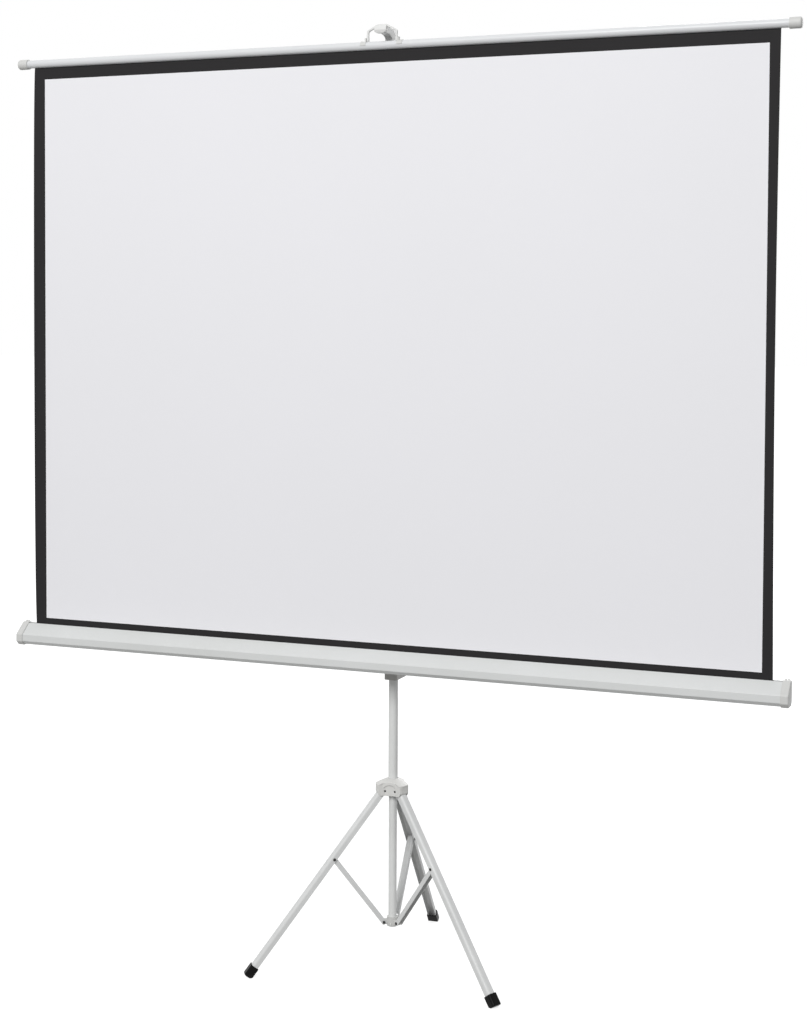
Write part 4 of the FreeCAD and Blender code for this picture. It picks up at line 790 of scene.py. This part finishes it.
# Its sides are held at the case's slot and at the bar, and curl most halfway between them.
sheet_length = on_sheet("ADD", below_image, on_sheet("ADD", image_height, above_image))
sheet_head = on_sheet("ADD", start_height, sheet_length)
free_length = on_sheet("SUBTRACT", sheet_head, slot_height)
free_share = put(sheet_tree, "ShaderNodeClamp", {
    "Value": on_sheet("DIVIDE", on_sheet("SUBTRACT", flat_z, slot_height), free_length)}).outputs["Result"]
slack_bow = on_sheet("MULTIPLY", on_sheet("MULTIPLY", free_share, 4.0),
                     on_sheet("SUBTRACT", 1.0, free_share))
slack = on_sheet("POWER", slack_bow, SLACK_POWER)
curl_width = sheet_in.outputs["Curl Width"]
flat_width = on_sheet("SUBTRACT", half_width, curl_width)
from_middle = on_sheet("ABSOLUTE", flat_x)
past_flat = on_sheet("MAXIMUM", on_sheet("SUBTRACT", from_middle, flat_width), 0.0)
curl_angle = on_sheet("MULTIPLY", sheet_in.outputs["Curl Angle"], slack)
bend = on_sheet("MAXIMUM", on_sheet("DIVIDE", curl_angle, curl_width), LEAST_BEND)
bent = on_sheet("MULTIPLY", bend, past_flat)
curl_out = on_sheet("DIVIDE", on_sheet("SINE", bent), bend)
curl_front = on_sheet("DIVIDE", on_sheet("SUBTRACT", 1.0, on_sheet("COSINE", bent)), bend)
kept_x = on_sheet("MINIMUM", from_middle, flat_width)
hung_x = on_sheet("MULTIPLY", on_sheet("ADD", kept_x, curl_out), on_sheet("SIGN", flat_x))
ripple = on_sheet("MULTIPLY", on_sheet("SINE", on_sheet("MULTIPLY", flat_x, RIPPLES_PER_METRE)),
                  on_sheet("MULTIPLY", sheet_in.outputs["Ripple"], slack))
hung_y = on_sheet("SUBTRACT", on_sheet("ADD", sheet_in.outputs["Front"], ripple), curl_front)
sheet_uv = put(sheet_tree, "GeometryNodeStoreNamedAttribute", {
    "Geometry": net.outputs["Mesh"], "Name": "cloth", "Value": joined_xyz(sheet_tree, flat_x, flat_z)},
    data_type="FLOAT2", domain="CORNER")
sheet_black = put(sheet_tree, "GeometryNodeSetMaterial", {
    "Geometry": sheet_uv.outputs["Geometry"], "Material": screen_border})
in_image = 1.0
for index, first, last in ((column, SIDE_COLUMNS, SIDE_COLUMNS + IMAGE_COLUMNS),
                           (net_row, END_ROWS, END_ROWS + IMAGE_ROWS)):
    in_image = on_sheet("MULTIPLY", in_image, on_sheet("GREATER_THAN", index, float(first)))
    in_image = on_sheet("MULTIPLY", in_image, on_sheet("LESS_THAN", index, float(last)))
sheet_printed = put(sheet_tree, "GeometryNodeSetMaterial", {
    "Geometry": sheet_black.outputs["Geometry"], "Selection": in_image, "Material": screen_white})
sheet_hung = put(sheet_tree, "GeometryNodeSetPosition", {
    "Geometry": sheet_printed.outputs["Geometry"],
    "Position": joined_xyz(sheet_tree, hung_x, hung_y, flat_z)})
sheet_smooth = put(sheet_tree, "GeometryNodeSetShadeSmooth", {"Geometry": sheet_hung.outputs["Geometry"]})
sheet_tree.links.new(sheet_smooth.outputs["Geometry"], sheet_out.inputs["Geometry"])

cloth_low, cloth_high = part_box("screen_fabric")
screen_y = (cloth_low.y + cloth_high.y) / 2
bottom_length = case_top + BOTTOM_BORDER - cloth_low.z
top_length = cloth_high.z - cloth_low.z - bottom_length - IMAGE_HEIGHT
sheet = grow(sheet_tree, "projection_sheet", {
    "Image Width": IMAGE_WIDTH, "Image Height": IMAGE_HEIGHT,
    "Side Border": (cloth_high.x - cloth_low.x - IMAGE_WIDTH) / 2, "Print Shift": PRINT_SHIFT,
    "Bottom Length": bottom_length, "Top Length": top_length, "Start Height": cloth_low.z,
    "Slot Height": case_top, "Front": cloth_low.y})


def thicken(thing, thickness, back=None):
    """Gives a sheet its thickness behind its faces, with another finish on its back and edges."""
    if back:
        thing.data.materials.append(back)
    shell = thing.modifiers.new("thickness", "SOLIDIFY")
    shell.thickness = thickness
    shell.offset = -1
    shell.material_offset = len(thing.data.materials)
    shell.material_offset_rim = len(thing.data.materials)
    return settle(thing)


thicken(sheet, CLOTH_THICKNESS, screen_back)
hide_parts("screen_fabric")
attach(sheet, "case")
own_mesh(sheet)


# Some turns of the same cloth stay on the roller when the sheet is drawn out. They are wound in a
# spiral over the roller's tube, each turn on the one below.
ROLL_TURNS = 1.25
ROLL_STEPS = 48
roll_tree, roll_in, roll_out = new_tree("wound_cloth", "GeometryNodeTree", {
    "Inner Radius": (NUMBER, 0.0125), "Outer Radius": (NUMBER, 0.0133), "Turns": (NUMBER, 1.5),
    "Width": (NUMBER, 2.0), "Start": ("NodeSocketVector", (0.0, 0.0, 0.0)),
}, {"Geometry": (GEOMETRY, None)})
roll_line = put(roll_tree, "GeometryNodeCurveSpiral", {
    "Resolution": ROLL_STEPS, "Rotations": roll_in.outputs["Turns"],
    "Start Radius": roll_in.outputs["Inner Radius"], "End Radius": roll_in.outputs["Outer Radius"],
    "Height": 0.0})
roll_edge = put(roll_tree, "GeometryNodeCurveToMesh", {"Curve": roll_line.outputs["Curve"]})
roll_drawn = put(roll_tree, "GeometryNodeExtrudeMesh", {
    "Mesh": roll_edge.outputs["Mesh"], "Offset": joined_xyz(roll_tree, z=1.0),
    "Offset Scale": roll_in.outputs["Width"]}, mode="EDGES")
roll_uv = put(roll_tree, "GeometryNodeStoreNamedAttribute", {
    "Geometry": roll_drawn.outputs["Mesh"], "Name": "cloth",
    "Value": put(roll_tree, "GeometryNodeInputPosition").outputs["Position"]},
    data_type="FLOAT2", domain="CORNER")
roll_set = put(roll_tree, "GeometryNodeTransform", {
    "Geometry": roll_uv.outputs["Geometry"], "Translation": roll_in.outputs["Start"],
    "Rotation": ALONG_X})
roll_finish = put(roll_tree, "GeometryNodeSetMaterial", {
    "Geometry": roll_set.outputs["Geometry"], "Material": screen_back})
roll_tree.links.new(roll_finish.outputs["Geometry"], roll_out.inputs["Geometry"])

roll_low, roll_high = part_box("screen_roll")
roll_middle = middle("screen_roll")
roll_radius = (roll_high.z - roll_low.z) / 2 - CLOTH_THICKNESS
core_radius = (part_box("roller_tube")[1].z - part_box("roller_tube")[0].z) / 2
roll = grow(roll_tree, "wound_turns", {
    "Inner Radius": core_radius + CLOTH_THICKNESS, "Outer Radius": roll_radius, "Turns": ROLL_TURNS,
    "Width": roll_high.x - roll_low.x, "Start": (roll_low.x, roll_middle.y, roll_middle.z)})
thicken(roll, CLOTH_THICKNESS)
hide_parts("screen_roll")
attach(roll, "roller")


# The two locks are scalloped knobs of black plastic. Each is moulded on a plated screw, which
# bears on its tube when the knob is turned.
knob_plastic = moulding("knob_plastic", ((0.014, 0.014, 0.014), (0.021, 0.021, 0.021)), (0.34, 0.48), 0.3)
dress(knob_plastic, "height_knob", "extension_knob")


# The bar is an enamelled tube with a slit for the sheet, closed by a moulded cap at each end.
# A bail of white plastic swings on two clips that are pushed over the bar's middle.
bar_enamel = enamel("bar_enamel", ((0.71, 0.72, 0.73), (0.68, 0.69, 0.70)), (0.30, 0.40), 3.0)
white_plastic = moulding("white_plastic", ((0.76, 0.76, 0.75), (0.72, 0.72, 0.71)), (0.38, 0.50), 0.35)
dress(bar_enamel, "top_bar")
dress(pale_plastic, "bail_clips", "bar_cap_left", "bar_cap_right")
dress(white_plastic, "bail")


# The hook is one white moulding with rounded edges. Its socket sits on the extension tube's head,
# held by a screw, and its gooseneck comes forward, rises behind the bar and ends in a broad beak
# with a saddle behind it, where the bail hangs.
BAIL_THICKNESS = 0.006
SADDLE_GAP = 0.0006
SADDLE_PLAY = 0.0032
SADDLE_LAP = 0.003
SADDLE_DEPTH = 0.014
NECK_WIDTH = 0.020
# Each pair is a step back and up from a corner of the saddle, the bar, the socket or the nose.
NECK_CREST = ((0.0, 0.0035), (0.009, 0.0035), (0.050, -0.001), (0.060, -0.008))
NECK_BEND = ((0.064, 0.009),)
NECK_ROOT = ((0.052, -0.022), (0.040, -0.010))
NECK_THROAT = ((0.036, -0.024), (0.024, -0.018))
SOCKET_WIDTH = 0.030
SOCKET_BORE = 0.0197
SOCKET_ROOF = 0.002
SOCKET_JOIN = ((0.004, 0.007), (0.004, -0.026))
BEAK_WIDTH = 0.034
BEAK_BROW = ((0.0, 0.0025), (-0.006, 0.0025))
BEAK_NOSE = ((0.001, -0.004), (0.0, -0.010), (0.003, -0.019))
BEAK_DEPTH = 0.020
# From the front, each pair is a share of the beak's width and a height from the saddle.
BEAK_SIDE = ((0.40, 0.004), (0.5, 0.001), (0.5, -0.012), (0.44, -0.016), (0.2, -0.019))
HOOK_VOXEL = 0.0009
HOOK_SMOOTHING = 8
tube_middle = middle("extension_tube")
tube_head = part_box("extension_tube")[1].z
bar_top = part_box("top_bar")[1].z
bail_low, bail_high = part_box("bail")
hook_low, hook_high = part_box("hook")
saddle_z = bail_high.z - BAIL_THICKNESS - SADDLE_GAP
saddle_front = bail_low.y - SADDLE_PLAY
saddle_back = bail_high.y + SADDLE_PLAY
socket_front = 2 * tube_middle.y - hook_high.y


def offsets(y, z, steps):
    """Points of the hook's outline, each a step back and up from the same corner."""
    return [(y + back, z + up) for back, up in steps]


def hook_slab(name, outline, width):
    """A slab of the hook, its outline seen from the side."""
    return slab(name, [(tube_middle.x, y, z) for y, z in outline], (width, 0, 0))


hook = hook_slab("hook_moulding", [
    (saddle_front - SADDLE_LAP, saddle_z), (saddle_back, saddle_z),
    *offsets(saddle_back, saddle_z, NECK_CREST), *offsets(saddle_back, bar_top, NECK_BEND),
    *offsets(socket_front, bar_top, SOCKET_JOIN), *offsets(saddle_back, bar_top, NECK_ROOT),
    *offsets(saddle_back, saddle_z, NECK_THROAT),
    (saddle_front - SADDLE_LAP, saddle_z - SADDLE_DEPTH)], NECK_WIDTH)
socket_top = tube_head + SOCKET_ROOF
cut_or_join(hook, hook_slab("hook_socket", [
    (socket_front, hook_low.z), (hook_high.y, hook_low.z), (hook_high.y, socket_top),
    (socket_front, socket_top)], SOCKET_WIDTH), "UNION")
beak = hook_slab("hook_beak", [
    *offsets(saddle_front, saddle_z, BEAK_BROW), *offsets(hook_low.y, saddle_z, BEAK_NOSE),
    (saddle_front, saddle_z - BEAK_DEPTH)], BEAK_WIDTH)
beak_front = [(-share, up) for share, up in BEAK_SIDE] + list(reversed(BEAK_SIDE))
cut_or_join(beak, slab("beak_front", [
    (tube_middle.x + share * BEAK_WIDTH, saddle_front, saddle_z + up) for share, up in beak_front],
    (0, 2 * BEAK_WIDTH, 0)), "INTERSECT")
cut_or_join(hook, beak, "UNION")
cut_or_join(hook, drill("hook_bore", (tube_middle.x, tube_middle.y, hook_low.z), (0, 0, 1), SOCKET_BORE,
                        2 * (tube_head - hook_low.z)), "DIFFERENCE")
round_off(hook, HOOK_VOXEL, HOOK_SMOOTHING, white_plastic)
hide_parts("hook")
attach(hook, "extension")


# A pale floor and a white surround: what the camera and the gloss see of them is white, and the
# light that they throw on the object is softer.
FLOOR_REACH = 60.0
FLOOR_NEAR = 1.5
FLOOR_FAR = 9.0
FLOOR_NEAR_GLOW = 0.81
FLOOR_SHADE = (0.4, 0.4, 0.4, 1)
FLOOR_BOUNCE = (0.30, 0.30, 0.295, 1)
WHITE = (1, 1, 1, 1)
SKY_TINT = (0.98, 0.99, 1.0, 1)
SKY_STRENGTH = 0.5


def seen_directly(tree):
    """1 where a ray comes from the camera or by way of gloss or glass."""
    path = put(tree, "ShaderNodeLightPath")
    seen = calc(tree, "MAXIMUM", path.outputs["Is Camera Ray"], path.outputs["Is Glossy Ray"])
    return calc(tree, "MAXIMUM", seen, path.outputs["Is Transmission Ray"])


floor_mesh = bpy.data.meshes.new("floor")
floor_mesh.from_pydata([(x * FLOOR_REACH, y * FLOOR_REACH, 0) for x, y in SQUARE], [], [(0, 1, 2, 3)])
floor = add("floor", floor_mesh)
floor_paint = bpy.data.materials.new("floor_paint")
floor_paint.use_nodes = True
floor_tree = floor_paint.node_tree
floor_tree.nodes.remove(floor_tree.nodes["Principled BSDF"])
floor_place = put(floor_tree, "ShaderNodeTexCoord").outputs["Object"]
floor_away = put(floor_tree, "ShaderNodeVectorMath", {0: floor_place}, operation="LENGTH")
floor_white = put(floor_tree, "ShaderNodeMapRange", {
    "Value": floor_away.outputs["Value"], "From Min": FLOOR_NEAR, "From Max": FLOOR_FAR,
    "To Min": FLOOR_NEAR_GLOW, "To Max": 1.0})
floor_glow = put(floor_tree, "ShaderNodeEmission", {
    "Color": WHITE, "Strength": floor_white.outputs["Result"]})
floor_pale = put(floor_tree, "ShaderNodeBsdfDiffuse", {"Color": FLOOR_SHADE})
floor_seen = put(floor_tree, "ShaderNodeAddShader", {0: floor_glow.outputs[0], 1: floor_pale.outputs[0]})
floor_bounce = put(floor_tree, "ShaderNodeBsdfDiffuse", {"Color": FLOOR_BOUNCE})
floor_mix = put(floor_tree, "ShaderNodeMixShader", {
    0: seen_directly(floor_tree), 1: floor_bounce.outputs[0], 2: floor_seen.outputs[0]})
floor_tree.links.new(floor_mix.outputs[0], floor_tree.nodes["Material Output"].inputs["Surface"])
floor_mesh.materials.append(floor_paint)

surround = bpy.data.worlds.new("surround")
bpy.context.scene.world = surround
surround.use_nodes = True
sky_tree = surround.node_tree
sky_light = sky_tree.nodes["Background"]
sky_light.inputs["Color"].default_value = SKY_TINT
sky_light.inputs["Strength"].default_value = SKY_STRENGTH
sky_white = put(sky_tree, "ShaderNodeBackground", {"Color": WHITE, "Strength": 1.0})
sky_mix = put(sky_tree, "ShaderNodeMixShader", {
    0: seen_directly(sky_tree), 1: sky_light.outputs[0], 2: sky_white.outputs[0]})
sky_tree.links.new(sky_mix.outputs[0], sky_tree.nodes["World Output"].inputs["Surface"])


# Two large soft lamps light the studio, both aimed at the sheet's middle: one high in front of
# the screen and a weaker one behind it.
LAMP_SIZE = 3.6
KEY_FROM_MIDDLE = Vector((-0.3, -7.8, 4.6))
KEY_POWER = 530.0
BACK_FROM_MIDDLE = Vector((0.5, 7.8, 3.2))
BACK_POWER = 260.0
sheet_middle = Vector((0, screen_y, case_top + BOTTOM_BORDER + IMAGE_HEIGHT / 2))


def soft_lamp(name, offset, power):
    """A square lamp that looks at the sheet's middle."""
    lamp = bpy.data.lights.new(name, "AREA")
    lamp.shape = "SQUARE"
    lamp.size = LAMP_SIZE
    lamp.energy = power
    holder = add(name, lamp)
    holder.location = sheet_middle + offset
    holder.rotation_euler = (-offset).to_track_quat("-Z", "Y").to_euler()


soft_lamp("key", KEY_FROM_MIDDLE, KEY_POWER)
soft_lamp("back", BACK_FROM_MIDDLE, BACK_POWER)


# The camera stands in front of the screen, to its right, a little above the sheet's middle. Its
# place, turn and lens are fitted to the corners of the sheet's image and of its border.
PICTURE_ROWS = 1020
FOCAL_PIXELS = 1806.6
LEVEL_ROW = 387.8
SENSOR_WIDTH = 36.0
CAMERA_FROM_MIDDLE = Vector((1.8127, -4.3843, 0.1011))
YAW = math.radians(21.60)
PITCH = math.radians(-2.27)
ROLL = math.radians(0.27)
camera_data = bpy.data.cameras.new("camera")
camera_data.sensor_width = SENSOR_WIDTH
camera_data.lens = FOCAL_PIXELS * SENSOR_WIDTH / PICTURE_ROWS
camera_data.shift_y = (LEVEL_ROW - PICTURE_ROWS / 2) / PICTURE_ROWS
camera = add("camera", camera_data)
camera.matrix_world = (
    Matrix.Translation(sheet_middle + CAMERA_FROM_MIDDLE) @ Matrix.Rotation(YAW, 4, "Z")
    @ Matrix.Rotation(math.pi / 2 + PITCH, 4, "X") @ Matrix.Rotation(ROLL, 4, "Z"))
bpy.context.scene.camera = camera
bpy.context.scene.view_settings.view_transform = "Standard"
